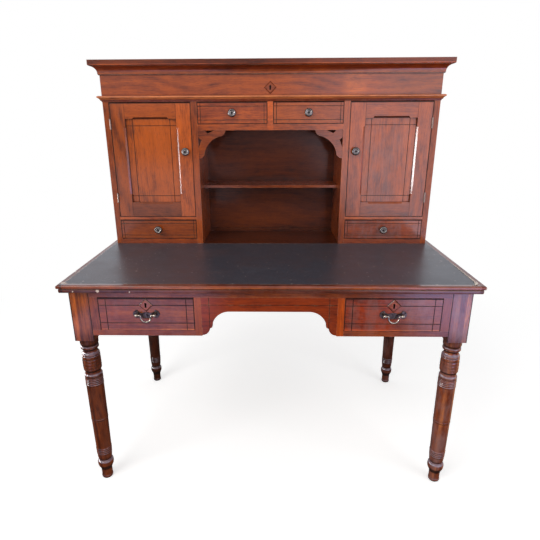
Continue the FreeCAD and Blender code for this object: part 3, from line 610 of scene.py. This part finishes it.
def metal_material(name, metal, cover, seed, dull=0.0, knob=None, polish=None):
    """Old metal: a dark film over it, rubbed through on the edges, on a knob's face or past a depth."""
    palette = bpy.context.scene.desk_metal
    material, tree, shader = new_material(name, coat=0.15, coat_roughness=0.2)
    colour, gloss, relief = metal_patina(tree, metal=metal, film=palette.tarnish, cover=cover, seed=seed)
    worn = edge_wear(tree, width=0.0012, amount=0.6, seed=seed)
    # Darker in the hollows: tarnish there and painted shade.
    shade_and_dirt = corner_grime(tree, reach=0.004, amount=0.8)
    colour = (worn * 0.7).mix(colour, scaled(metal, 1.35))
    x, y, z = place_in(tree).parts()
    if polish:
        colour = y.ramp(polish + 0.002, polish - 0.001).mix(colour, palette.brass)
    if knob:
        away = combine(tree, x - knob[0], 0.0, z - knob[1]).length()
        face = away.ramp(*KNOB_FACE) * away.ramp(*KNOB_EYE)
        colour = (face * 0.55).mix(colour, scaled(metal, 1.7))
        # The knob's outer rim and its centre eye are painted dark: painted shade round the knob and in the
        # eye.
        shade_and_dirt = most([shade_and_dirt, away.ramp(0.0134, 0.0144) * 0.85, away.ramp(0.0032, 0.002)])
    feed(shader["Base Color"], shade_and_dirt.mix(colour, palette.tarnish))
    feed(shader["Metallic"], shade_and_dirt * -0.6 + 0.92)
    feed(shader["Roughness"], gloss + dull + shade_and_dirt * 0.3)
    raise_surface(shader, relief, 0.0002)
    return material


# Pale marks in the leather: x, y, radius and strength
LEATHER_MARKS = (
    (-0.5802, -0.3362, 0.0028, 0.9), (-0.4800, -0.3419, 0.0035, 0.4), (-0.4666, -0.1545, 0.0026, 0.7),
    (-0.4432, -0.2343, 0.0040, 0.6), (-0.4562, -0.1162, 0.0026, 0.7), (-0.4164, -0.0177, 0.0026, 0.5),
    (-0.5235, -0.0854, 0.0030, 0.4), (-0.3291, -0.3287, 0.0020, 0.5), (0.5078, -0.3590, 0.0026, 0.9),
    (0.6049, -0.1150, 0.0060, 0.3), (0.2980, -0.0500, 0.0030, 0.3), (0.1200, -0.2400, 0.0022, 0.4),
)


def torn_leather_mask(place, low, high):
    """A mask that is high along the edges and at the front corners, where the leather is torn."""
    x, y, _ = place.parts()
    ragged = place.noise(46.0, 5, 0.7) - 0.5
    front_gap = y - low.y
    side_reach = front_gap.ramp(0.30, 0.0) * (x > 0.0).blend(0.0022, 0.0042)
    edges = [ragged * 0.016 + (high.x - abs(x)) < side_reach,
             (ragged * 0.014 + front_gap < 0.0006) * 0.5,
             (ragged * -0.014 + (high.y - y) < 0.0008) * 0.5]
    corners = [spot(place, (side * (high.x - 0.004), low.y + 0.005, high.z), 0.007) for side in (-1, 1)]
    return most(edges + corners)


def leather_material(name):
    """Black writing leather, rubbed brown in places, scuffed, dusty and torn at its edges."""
    palette = bpy.context.scene.desk_leather
    low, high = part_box("writing_leather")
    material, tree, shader = new_material(name, specular=0.62)
    place = place_in(tree)
    clouds = place.noise(14.0, 4, 0.65)
    fine = place.noise(190.0, 3, 0.6)
    rubbed = (clouds * 0.5 + place.noise(3.2, 4, 0.6, 0.4)).ramp(0.66, 0.98)
    colour = (rubbed * 0.55).mix(palette.leather, palette.rubbed)
    colour = fine.ramp(0.45, 0.75, 0.0, 0.5).mix(colour, scaled(palette.leather, 2.4))
    haze = place.stretch(1.0, 2.2, 1.0).noise(5.5, 5, 0.7).ramp(0.5, 0.85)
    colour = (haze * 0.14).mix(colour, shade(120, 124, 136))
    lines = scratches(tree, vector=place, amount=0.3)
    dust = specks(tree, vector=place, spacing=0.036, size=0.075, share=0.35)
    dots = specks(tree, vector=place, spacing=0.011, size=0.11, share=0.12)
    colour = most([lines, dust * 0.8, dots * 0.42]).mix(colour, shade(150, 142, 138))
    marks = [spot(place, (x, y, high.z), radius) * share for x, y, radius, share in LEATHER_MARKS]
    colour = most(marks).mix(colour, shade(196, 184, 172))
    ring = place.away((0.335, -0.165, high.z)).near(0.029, 0.0004, 0.0012) * clouds.ramp(0.35, 0.6)
    colour = (ring * 0.5).mix(colour, shade(132, 116, 92))
    torn = torn_leather_mask(place, low, high)
    hide = clouds.ramp(0.35, 0.65).mix(palette.torn, shade(150, 112, 84))
    feed(shader["Base Color"], (torn * 0.85).mix(colour, hide))
    feed(shader["Roughness"], clouds * 0.16 + 0.27 + (fine - 0.5) * 0.12 + torn * 0.4)
    pebble = signal(tree, "ShaderNodeTexVoronoi", "Distance", {"Vector": place, "Scale": 480.0}, feature="F1")
    waves = place.stretch(0.6, 1.4, 1.0).noise(9.0, 2)
    raise_surface(shader, pebble * 0.18 + waves * 0.9 + lines * -0.4, 0.0007)
    return material


def dress(names, material):
    """Gives CAD nodes a finish in place of the one they came with."""
    for name in names:
        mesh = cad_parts[name].data
        mesh.materials.clear()
        mesh.materials.append(material)


def varnish(name, *pieces, **look):
    """Dresses the piece of that name, or the pieces listed, with a wood."""
    dress(pieces or [name], wood_material(name, **look))


# Stage

def add_object(name, data):
    made = bpy.data.objects.new(name, data)
    bpy.context.scene.collection.objects.link(made)
    return made


def set_camera(settings):
    camera = add_object("camera", bpy.data.cameras.new("camera"))
    camera.data.lens = settings.lens
    camera.data.shift_x = settings.side_shift
    camera.matrix_world = (
        Matrix.Translation(settings.camera_place) @ Matrix.Rotation(-settings.heading, 4, "Z")
        @ Matrix.Rotation(math.pi / 2 - settings.tilt, 4, "X") @ Matrix.Rotation(settings.roll, 4, "Z"))
    bpy.context.scene.camera = camera


def add_light(name, place, target, size, power, colour):
    """A soft rectangular light that faces a target."""
    lamp = bpy.data.lights.new(name, "AREA")
    lamp.shape = "RECTANGLE"
    lamp.size, lamp.size_y = size
    lamp.energy = power
    lamp.color = colour
    light = add_object(name, lamp)
    light.location = place
    light.rotation_euler = (Vector(target) - Vector(place)).to_track_quat("-Z", "Y").to_euler()
    return light


def ray(tree, kind):
    return signal(tree, "ShaderNodeLightPath", f"Is {kind} Ray")


def set_world(settings):
    """A white background, a plain level for soft light and a paler one for what polish mirrors."""
    world = bpy.data.worlds.new("studio")
    bpy.context.scene.world = world
    tree = empty_tree(world)
    x, y, z = signal(tree, "ShaderNodeTexCoord", "Generated").parts()
    front_wall = x.ramp(-0.02, 0.2).mix((0.6, 0.62, 0.68), (2.1, 2.0, 2.3))
    left_dark = x.ramp(-0.1, -0.17) * z.ramp(0.06, 0.0)
    front_wall = left_dark.mix(front_wall, (0.03, 0.02, 0.02))
    side_wall = y.ramp(-0.6, -0.85).mix((0.45, 0.44, 0.48), front_wall)
    room = y.ramp(0.1, 0.5).mix(side_wall, (0.98, 0.99, 1.06))
    room = z.ramp(0.45, 0.75).mix(room, (0.5, 0.5, 0.53))
    plain = ray(tree, "Glossy").mix((settings.sky,) * 3, room)
    colour = most([ray(tree, "Camera"), ray(tree, "Transmission")]).mix(plain, WHITE)
    background = signal(tree, "ShaderNodeBackground", 0, {"Color": colour, "Strength": 1.0})
    add_node(tree, "ShaderNodeOutputWorld", {"Surface": background})


def mirrored_floor(settings, x, y):
    """The floor as polish mirrors it: dim near the desk, in front of its middle and far off on the left."""
    beyond = (y + 1.5) * -1.0
    half = beyond.maths("MAXIMUM") * 0.05 + 0.5
    middle = (abs(x - 0.22) - half).ramp(0.35, -0.05)
    near_desk = beyond.ramp(0.2, -0.2)
    far_left = beyond.ramp(9.6, 12.0) * x.ramp(0.5, -0.5)
    left_end = x.ramp(-1.24, -1.36) * beyond.ramp(1.3, 0.8)
    whiter = beyond.ramp(0.7, 1.9).mix(settings.sheen_colour, (1.3, 1.3, 1.5))
    bright = whiter.tinted(x.ramp(0.7, 1.3, 0.62, 1.65))
    return most([middle, near_desk, far_left, left_end]).mix(bright, (0.03, 0.025, 0.025))


def floor_material(settings):
    """Plain pale floor that keeps the shadow and fades into the white background. To glossy rays it glows
    instead with the pattern of the mirrored floor, a painted reflection of a bright room.
    """
    material = bpy.data.materials.new("pale_floor")
    tree = empty_tree(material)
    camera = ray(tree, "Camera")
    place = place_in(tree)
    x, y, _ = place.parts()
    white = place.length().ramp(1.2, 2.4, 0.5, 1.0)
    seen = camera.mix(settings.floor_colour, scaled(settings.floor_colour, 1.9))
    diffuse = signal(tree, "ShaderNodeBsdfDiffuse", 0, {"Color": seen})
    backdrop = signal(tree, "ShaderNodeEmission", 0, {"Color": WHITE, "Strength": 1.0})
    glow = signal(tree, "ShaderNodeEmission", 0, {"Color": mirrored_floor(settings, x, y), "Strength": 1.0})
    faded = signal(tree, "ShaderNodeMixShader", 0, {0: camera * white, 1: diffuse, 2: backdrop})
    floor = signal(tree, "ShaderNodeMixShader", 0, {0: ray(tree, "Glossy"), 1: faded, 2: glow})
    add_node(tree, "ShaderNodeOutputMaterial", {"Surface": floor})
    return material


def add_floor(half, material):
    """A level square of the stage, round the desk."""
    mesh = bpy.data.meshes.new("floor")
    corners = [(-half, -half, 0), (half, -half, 0), (half, half, 0), (-half, half, 0)]
    mesh.from_pydata(corners, [], [(0, 1, 2, 3)])
    mesh.materials.append(material)
    piece = add_object("floor", mesh)


class DESK_OT_stage(bpy.types.Operator):
    """Set up the camera, the soft lights, the white background and the pale floor"""

    bl_idname = "desk.stage"
    bl_label = "Set the Stage"

    def execute(self, context):
        settings = context.scene.desk_stage
        context.scene.view_settings.view_transform = "Standard"
        set_camera(settings)
        set_world(settings)
        add_floor(30, floor_material(settings))
        target = (0, 0, 0.8)
        add_light("key", (-2.2, -2.6, 3.2), target, (2.4, 2.0), settings.key_power, (1.0, 0.99, 0.97))
        add_light("fill", (2.8, -2.4, 2.2), target, (2.0, 2.4), settings.fill_power, (0.95, 0.97, 1.0))
        for name, y, height, share in (("left_window", 0.55, 0.8, 1.0), ("front_window", -0.85, 0.6, 0.85)):
            window = add_light(name, (-2.6, y, 0.85), (0, y, 0.95), (1.1, height),
                               settings.window_power * share, (0.95, 0.98, 1.0))
            window.visible_diffuse = False
        return {"FINISHED"}


# Pieces

class DESK_OT_hutch_woods(bpy.types.Operator):
    """Finish the boards and mouldings of the hutch"""

    bl_idname = "desk.hutch_woods"
    bl_label = "Finish the Hutch"

    def execute(self, context):
        low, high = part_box("frieze_boards")
        # The frieze's washes: a painted highlight patch near x 0.31 and a darker right end.
        varnish("frieze", "frieze_boards", warmth=0.42, level=0.92, figure=0.34, streaks=0.42, tilt=0.12,
                ring_width=0.03, seed=1.3, around=(high.x, low.y, high.y),
                washes=[(X, 0.31, 0.014, 0.045, (1.4, 1.6, 1.5)), (X, 0.62, 0.12, 0.16, (0.8, 0.86, 0.8))])
        low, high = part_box("cornice_moulding")
        # The cornice strips, from the top: a darker fascia, a painted highlight line, a painted shade band
        # under the fascia, a painted highlight on the fillet and a painted shadow line at its foot.
        varnish("cornice_moulding", warmth=0.3, level=0.78, figure=0.08, seed=2.1, grime=0.9, wear=0.6,
                around=(high.x, low.y, None), matt=[(Z, 1.4195, 0.0075, 0.6), (Z, 1.4378, 0.0078, 0.5)],
                strips=[(Z, 1.4378, 0.0078, 1.0, (0.58, 0.5, 0.28)),
                        (Z, 1.4293, 0.0014, 1.0, (1.5, 1.5, 1.5)),
                        (Z, 1.4195, 0.0075, 1.0, (0.8, 0.6, 0.45)),
                        (Z, 1.4012, 0.0014, 0.8, (1.3, 1.4, 1.5)),
                        (Z, 1.3975, 0.0014, 1.0, (0.5, 0.5, 0.5))])
        low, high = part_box("waist_moulding")
        # The waist strips: a painted lilac sheen over its upper part, a painted highlight on the top arris
        # and a painted shade band on its lower part, which faces down.
        varnish("waist_moulding", warmth=0.7, level=1.2, figure=0.08, seed=2.9, grime=0.9, wear=0.6,
                around=(high.x, low.y, None), matt=[(Z, 1.3070, 0.0052, 0.8)],
                strips=[(Z, 1.3185, 0.0065, 1.0, (1.1, 1.6, 4.6)), (Z, 1.3195, 0.0024, 0.8, (1.4, 1.7, 2.0)),
                        (Z, 1.3070, 0.0052, 1.0, (0.42, 0.32, 0.6))])
        varnish("lid", "lid_board", warmth=0.3, level=0.8, figure=0.15, seed=3.4, rough=0.12)
        varnish("sides", "hutch_sides", warmth=0.45, level=0.8, upright=1.0, seed=4.6, coat=0.6)
        varnish("partitions", "hutch_partitions", upright=1.0, figure=0.15, seed=5.2)
        varnish("rails", "cupboard_floors", "small_drawer_shelf", level=1.2, figure=0.12, seed=6.0,
                strips=[(X, 0.0, 0.0106, 1.0, (1.35, 1.3, 1.0)), (Z, 0.77, 0.013, 1.0, (0.72, 0.66, 0.6))])
        varnish("compartment", "compartment_floor", warmth=0.4, level=0.8, seed=6.6)
        varnish("brackets", "fretted_brackets", warmth=0.35, level=0.85, figure=0.1, seed=7.1)
        # The bay's low level and long shading reach are painted shade for the deep recess behind the shelf.
        varnish("bay", "hutch_back", warmth=0.55, level=0.40, streaks=0.4, mottle=0.8, figure=0.2, tilt=0.1,
                ring_width=0.03, seed=8.4, coat=0.4, reach=0.07, grime=0.75)
        varnish("shelf", "open_shelf", warmth=0.4, level=0.8, seed=8.9)
        varnish("frieze_diamond", "compartment_lock", warmth=0.4, level=0.8, figure=0.1, seed=9.0, coat=0.9,
                coat_roughness=0.2, wear=0.1, diamond=(0.0, 1.3512, 0.5))
        varnish("lid_rails", warmth=0.3, level=0.7, rough=0.15, coat=0.1, seed=9.3)
        return {"FINISHED"}


class DESK_OT_doors(bpy.types.Operator):
    """Finish the two cupboard doors and their panels"""

    bl_idname = "desk.doors"
    bl_label = "Finish the Doors"

    def execute(self, context):
        low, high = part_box("door_right_frame")
        panel_low, panel_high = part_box("door_right_panel")
        lap = 0.0075
        rail_height = 0.057
        line_inset = 0.0325
        inner, outer = panel_low.x + lap, panel_high.x - lap
        # warmth, level of the frame and of the panel, seed, varnish haze of both (partly a painted sheen),
        # figure of the hinge stile, and the levels of the lock stile, hinge stile, top rail and bottom rail
        tones = {"left": (0.95, 0.96, 1.08, 3.0, 0.0, 0.0, 0.5, (1.42, 0.84, 1.02, 0.6)),
                 "right": (0.5, 1.06, 1.2, 5.0, 0.12, 0.3, 0.15, (1.14, 1.0, 0.98, 0.82))}
        for side, (warmth, level, panel_level, seed, bloom, panel_bloom, figure, levels) in tones.items():
            boards = SimpleNamespace(inner=inner, outer=outer, middle=(low.z + high.z) / 2, figure=figure,
                                     levels=levels)
            piece = f"door_{side}_frame"
            # The frame's rim is painted shade in the gap round the door, wider at the top under the shadow of
            # the waist moulding.
            varnish(f"door_{side}", piece, warmth=warmth * 0.8, level=level, boards=boards, figure=0.14,
                    tilt=0.16, ring_width=0.024, seed=seed, rim=piece, rim_top=0.0046, bloom=bloom,
                    opening=(inner, outer, high.z - rail_height, low.y))
            piece = f"door_{side}_panel"
            varnish(f"panel_{side}", piece, warmth=warmth, level=panel_level, upright=1.0, figure=0.08,
                    streaks=0.55, tilt=0.05, seed=seed + 0.7, line_face=panel_low.y, line_half=0.0009,
                    bloom=panel_bloom, lines=(*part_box(piece), line_inset, line_inset))
        return {"FINISHED"}


class DESK_OT_drawers(bpy.types.Operator):
    """Finish the drawers, their boxes and the raised diamonds"""

    bl_idname = "desk.drawers"
    bl_label = "Finish the Drawers"

    def execute(self, context):
        diamond_drop = 0.0228
        # warmth, level, varnish haze and washes of each front; the haze and the bluish washes are partly a
        # painted sheen
        tones = {
            "table_drawer_left": (0.1, 0.95, 0.22, [(X, -0.34, 0.06, 0.1, (0.86, 0.94, 1.04))]),
            "table_drawer_right": (0.4, 0.82, 0.5, [(X, 0.25, 0.09, 0.1, (1.3, 0.76, 0.3)),
                                                    (X, 0.5, 0.04, 0.12, (0.96, 1.14, 1.65))]),
            "lower_drawer_left": (0.55, 0.8, 0.0, ()), "lower_drawer_right": (0.15, 1.24, 0.6, ()),
            "upper_drawer_left": (0.2, 1.2, 0.0, ()), "upper_drawer_right": (0.5, 0.95, 0.0, ()),
        }
        for number, (drawer, (warmth, level, bloom, washes)) in enumerate(tones.items()):
            front, lock = drawer + "_front", drawer + "_lock"
            low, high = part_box(front)
            look = {"lines": (low, high, 0.0115, 0.014), "line_half": 0.0009, "rim_top": 0.0036}
            # On the table drawers the bluish strip near the bottom edge is a painted highlight, and the deep
            # top rim of the left one is the painted shadow under the table top.
            if drawer.startswith("table"):
                look = {"lines": (low, high, 0.024, 0.024), "line_half": 0.0012, "rim_bottom": False,
                        "rim_top": 0.0058 if drawer == "table_drawer_left" else 0.0036,
                        "strips": [(Z, low.z + 0.002, 0.0016, 0.8, (2.2, 2.7, 3.1))]}
            varnish(drawer, front, warmth=warmth, level=level, figure=0.08, seed=11.0 + number * 1.7,
                    rim=front, line_face=low.y, washes=washes, line_share=0.7, bloom=bloom, **look)
            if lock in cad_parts:
                low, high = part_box(lock)
                varnish(drawer + "_diamond", lock, warmth=0.05, level=0.9, figure=0.08, seed=12.0 + number,
                        wear=0.1, bloom=0.3, diamond=((low.x + high.x) / 2, high.z - diamond_drop, 1.0))
        boxes = [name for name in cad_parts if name.endswith("_box")]
        varnish("inner_board", *boxes, "drawer_runners", around=(0.0, None, None), coat=0.0, rough=0.25,
                grime=0.4, wear=0.1, seed=20.0, plain=context.scene.desk_wood.inner_wood)
        return {"FINISHED"}


class DESK_OT_table_frame(bpy.types.Operator):
    """Finish the legs, aprons, rails, posts and the shaped apron"""

    bl_idname = "desk.table_frame"
    bl_label = "Finish the Table Frame"

    def execute(self, context):
        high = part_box("aprons")[1]
        varnish("aprons", warmth=0.35, level=0.7, figure=0.14, seed=31.0, around=(high.x, None, high.y))
        # The bluish wash at the right end is a painted sheen.
        varnish("front_rails", warmth=0.2, level=0.8, figure=0.1, seed=32.0, bloom=0.2,
                washes=[(X, 0.55, 0.08, 0.14, (0.8, 0.88, 1.4))])
        varnish("posts", "front_posts_and_stiles", level=0.85, upright=1.0, figure=0.1, seed=33.0,
                strips=[(X, 0.224, 0.012, 1.0, (1.35, 1.05, 0.25)),
                        (X, 0.551, 0.0135, 1.0, (0.62, 0.66, 0.9)),
                        (X, -0.551, 0.0135, 1.0, (0.88, 0.95, 1.1))])
        varnish("kneehole", "kneehole_apron", warmth=0.45, level=0.72, figure=0.1, seed=34.0,
                line_face=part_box("kneehole_apron")[0].y, strips=[(X, 0.0, 0.4, 1.0, (0.95, 0.6, 0.3))])
        # warmth, level, varnish haze, haze on the ledges, tint of the square block and washes of each leg
        # The rear legs' low levels are painted shade under the table; the front right leg's level, the right
        # legs' varnish haze and its bluish washes are partly a painted sheen; the front left leg's washes are
        # a painted highlight streak and a painted shade line; the haze on the ledges is a painted highlight.
        tones = {
            "leg_front_left": (0.5, 0.46, 0.1, 0.42, (2.1, 2.5, 2.4), [
                (X, -0.613, 0.003, 0.006, (1.5, 1.5, 1.3)), (X, -0.602, 0.002, 0.005, (0.62, 0.55, 0.55))]),
            "leg_front_right": (0.3, 0.7, 0.8, 0.6, (0.84, 0.76, 0.74), [
                (X, 0.584, 0.003, 0.005, (1.8, 2.8, 5.5)), (X, 0.618, 0.006, 0.004, (2.8, 5.6, 14.0))]),
            "leg_rear_left": (0.3, 0.16, 0.05, 0.2, WHITE, []),
            "leg_rear_right": (0.3, 0.34, 0.4, 0.6, WHITE, []),
        }
        # Painted shade under the square blocks.
        shade_under_block = (Z, 0.562, 0.004, 0.05, (0.55, 0.5, 0.5))
        for number, (leg, (warmth, level, bloom, ledges, block, washes)) in enumerate(tones.items()):
            varnish(leg, warmth=warmth, level=level, upright=1.0, figure=0.1, streaks=1.0, mottle=1.5,
                    fineness=2.2, pores=0.9, wear=0.25, grime=1.0, seed=35.0 + number * 2.3,
                    coat_roughness=0.1, reach=0.012, bloom=bloom, rim=leg, rim_width=0.0036, ledges=ledges,
                    strips=[(Z, 0.66, 0.099, 1.0, block)], washes=[*washes, shade_under_block])
        return {"FINISHED"}


class DESK_OT_writing_top(bpy.types.Operator):
    """Finish the table top, its moulded edge and the writing leather"""

    bl_idname = "desk.writing_top"
    bl_label = "Finish the Writing Top"

    def execute(self, context):
        low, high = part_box("top_edge_moulding")
        front = [(-0.524, 0.003, 0.007, 0.006), (-0.426, 0.004, 0.004, 0.003), (-0.600, 0.004, 0.005, 0.003),
                 (0.30, 0.003, 0.019, 0.003), (-0.12, 0.003, 0.015, 0.002), (high.x, 0.0, 0.018, 0.004)]
        chips = [((x, low.y + inward, low.z + rise), radius) for x, inward, rise, radius in front]
        chips += [((low.x + 0.013, low.y + 0.026, high.z), 0.008), ((low.x + 0.006, -0.244, high.z), 0.004)]
        # The bright bluish strip along the top arris is a painted highlight, partly a worn edge.
        varnish("top_edge", "top_edge_moulding", warmth=0.2, level=0.82, figure=0.05, wear=0.8, grime=0.8,
                seed=41.0, bloom=0.18, around=(high.x, low.y, None), chips=chips,
                matt=[(X, 0.643, 0.0085, 0.6), (X, -0.6425, 0.0062, 0.6)],
                strips=[(Z, 0.7556, 0.0016, 0.8, (1.5, 2.1, 2.5)),
                        (Y, -0.3668, 0.0074, 0.85, (0.42, 0.38, 0.45)),
                        (X, -0.6345, 0.0022, 0.9, (0.2, 0.16, 0.2)),
                        (X, 0.643, 0.0085, 1.0, (0.6, 0.46, 0.4)),
                        (X, -0.6425, 0.0062, 1.0, (0.62, 0.52, 0.46))])
        varnish("core", "table_top", warmth=0.4, level=0.22, figure=0.15, coat=0.4, seed=42.0)
        dress(["writing_leather"], leather_material("leather"))
        return {"FINISHED"}


# The torn edge from back to front: x, y, half width and lift
TORN_EDGE = (
    (0.6312, -0.1600, 0.0002, 0.0002), (0.6322, -0.1728, 0.0006, 0.0008), (0.6318, -0.2050, 0.0004, 0.0004),
    (0.6308, -0.2374, 0.0012, 0.0016), (0.6318, -0.2660, 0.0005, 0.0006), (0.6320, -0.2969, 0.0012, 0.0018),
    (0.6312, -0.3250, 0.0008, 0.0012), (0.6300, -0.3390, 0.0026, 0.0036), (0.6280, -0.3500, 0.0040, 0.0064),
    (0.6262, -0.3582, 0.0042, 0.0040), (0.6220, -0.3640, 0.0022, 0.0012), (0.6120, -0.3655, 0.0006, 0.0004),
)


def torn_edging(name, material):
    """A narrow strip of torn leather that curls up along the right end of the writing top."""
    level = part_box("writing_leather")[1].z
    mesh = bmesh.new()
    rows = []
    for number, (x, y, half, lift) in enumerate(TORN_EDGE):
        rise = 0.0003 + lift
        half_base = half + 0.0004 * math.sin(number * 2.4)
        shape = ((-half_base, 0.0002), (-half * 0.4, rise * 0.7), (half * 0.3, rise),
                 (half_base, rise * 0.55))
        rows.append([mesh.verts.new((x + off, y, level + up)) for off, up in shape])
    for first, second in zip(rows, rows[1:]):
        for corner in range(3):
            mesh.faces.new((first[corner], first[corner + 1], second[corner + 1], second[corner]))
    data = bpy.data.meshes.new(name)
    mesh.to_mesh(data)
    mesh.free()
    data.materials.append(material)
    piece = add_object(name, data)
    smooth = piece.modifiers.new("smooth", "SUBSURF")
    smooth.levels = smooth.render_levels = 2
    thick = piece.modifiers.new("thickness", "SOLIDIFY")
    thick.thickness = 0.0006
    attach(piece, "desk")


def torn_material(name):
    """Bare fibrous hide, pale with brown stains, and dark in its folds, with soiling there and painted shade.
    """
    palette = bpy.context.scene.desk_leather
    material, tree, shader = new_material(name, specular=0.3)
    place = place_in(tree)
    fibres = place.stretch(900.0, 260.0, 900.0).noise(1.0, 2)
    colour = place.noise(90.0, 4, 0.65).ramp(0.52, 0.74).mix(palette.torn, shade(168, 124, 96))
    shade_and_dirt = corner_grime(tree, reach=0.003, amount=0.5)
    feed(shader["Base Color"], shade_and_dirt.mix(colour, palette.leather))
    feed(shader["Roughness"], fibres * 0.3 + 0.55)
    raise_surface(shader, fibres, 0.0002)
    return material


class DESK_OT_torn_edges(bpy.types.Operator):
    """Add the torn strip of leather that lifts along the right end of the writing top"""

    bl_idname = "desk.torn_edges"
    bl_label = "Add the Torn Edges"

    def execute(self, context):
        torn_edging("torn_leather_right", torn_material("torn_leather"))
        return {"FINISHED"}


class DESK_OT_metalwork(bpy.types.Operator):
    """Finish the knobs, handles, hinges and pins"""

    bl_idname = "desk.metalwork"
    bl_label = "Finish the Metalwork"

    def execute(self, context):
        palette = context.scene.desk_metal
        stile_middle = 0.025
        knob_rise = 0.588
        post_reach = 0.0105
        for number, name in enumerate(sorted(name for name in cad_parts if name.endswith("_knob"))):
            low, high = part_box(name)
            centre = ((low.x + high.x) / 2, (low.z + high.z) / 2)
            if name.startswith("door"):
                low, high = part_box(name.replace("knob", "frame"))
                side = low.x + stile_middle if low.x > 0 else high.x - stile_middle
                centre = (side, low.z + (high.z - low.z) * knob_rise)
            dress([name], metal_material(name, palette.gunmetal, 0.5, number * 0.31, knob=centre))
        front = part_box("table_drawer_left_front")[0].y
        dress(["table_drawer_left_handle", "table_drawer_right_handle"],
              metal_material("handle_plate", palette.bronze, 0.5, 5.1, polish=front - post_reach))
        dress(["table_drawer_left_bail", "table_drawer_right_bail"],
              metal_material("bail", palette.brass, 0.3, 6.3))
        dress(["shelf_pins", "door_hinge_seats", "lid_hinge_seats", "lid_hinges", "door_left_hinges",
               "door_right_hinges"], metal_material("steel", palette.steel, 0.34, 7.7, dull=0.34))
        return {"FINISHED"}


class DESK_PT_sidebar(bpy.types.Panel):
    """Lists the desk's settings and finishing steps"""

    bl_label = "Clerks Desk"
    bl_idname = "DESK_PT_sidebar"
    bl_space_type = "VIEW_3D"
    bl_region_type = "UI"
    bl_category = "Desk"

    def draw(self, context):
        for settings_name in SETTINGS:
            box = self.layout.box()
            settings = getattr(context.scene, settings_name)
            for name in settings.bl_rna.properties.keys():
                if name not in ("rna_type", "name"):
                    box.prop(settings, name)
        for step in STEPS:
            self.layout.operator(step.bl_idname)


SETTINGS = {"desk_stage": DeskStageSettings, "desk_wood": DeskWoodSettings,
            "desk_leather": DeskLeatherSettings, "desk_metal": DeskMetalSettings}
STEPS = (DESK_OT_stage, DESK_OT_hutch_woods, DESK_OT_doors, DESK_OT_drawers, DESK_OT_table_frame,
         DESK_OT_writing_top, DESK_OT_torn_edges, DESK_OT_metalwork)


def register():
    for settings_name, group in SETTINGS.items():
        bpy.utils.register_class(group)
        setattr(bpy.types.Scene, settings_name, PointerProperty(type=group))
    for step in (*STEPS, DESK_PT_sidebar):
        bpy.utils.register_class(step)


def unregister():
    for step in (*STEPS, DESK_PT_sidebar):
        bpy.utils.unregister_class(step)
    for settings_name, group in SETTINGS.items():
        delattr(bpy.types.Scene, settings_name)
        bpy.utils.unregister_class(group)


def main():
    register()
    for step in STEPS:
        space, name = step.bl_idname.split(".")
        getattr(getattr(bpy.ops, space), name)()


if __name__ == "__main__":
    main()
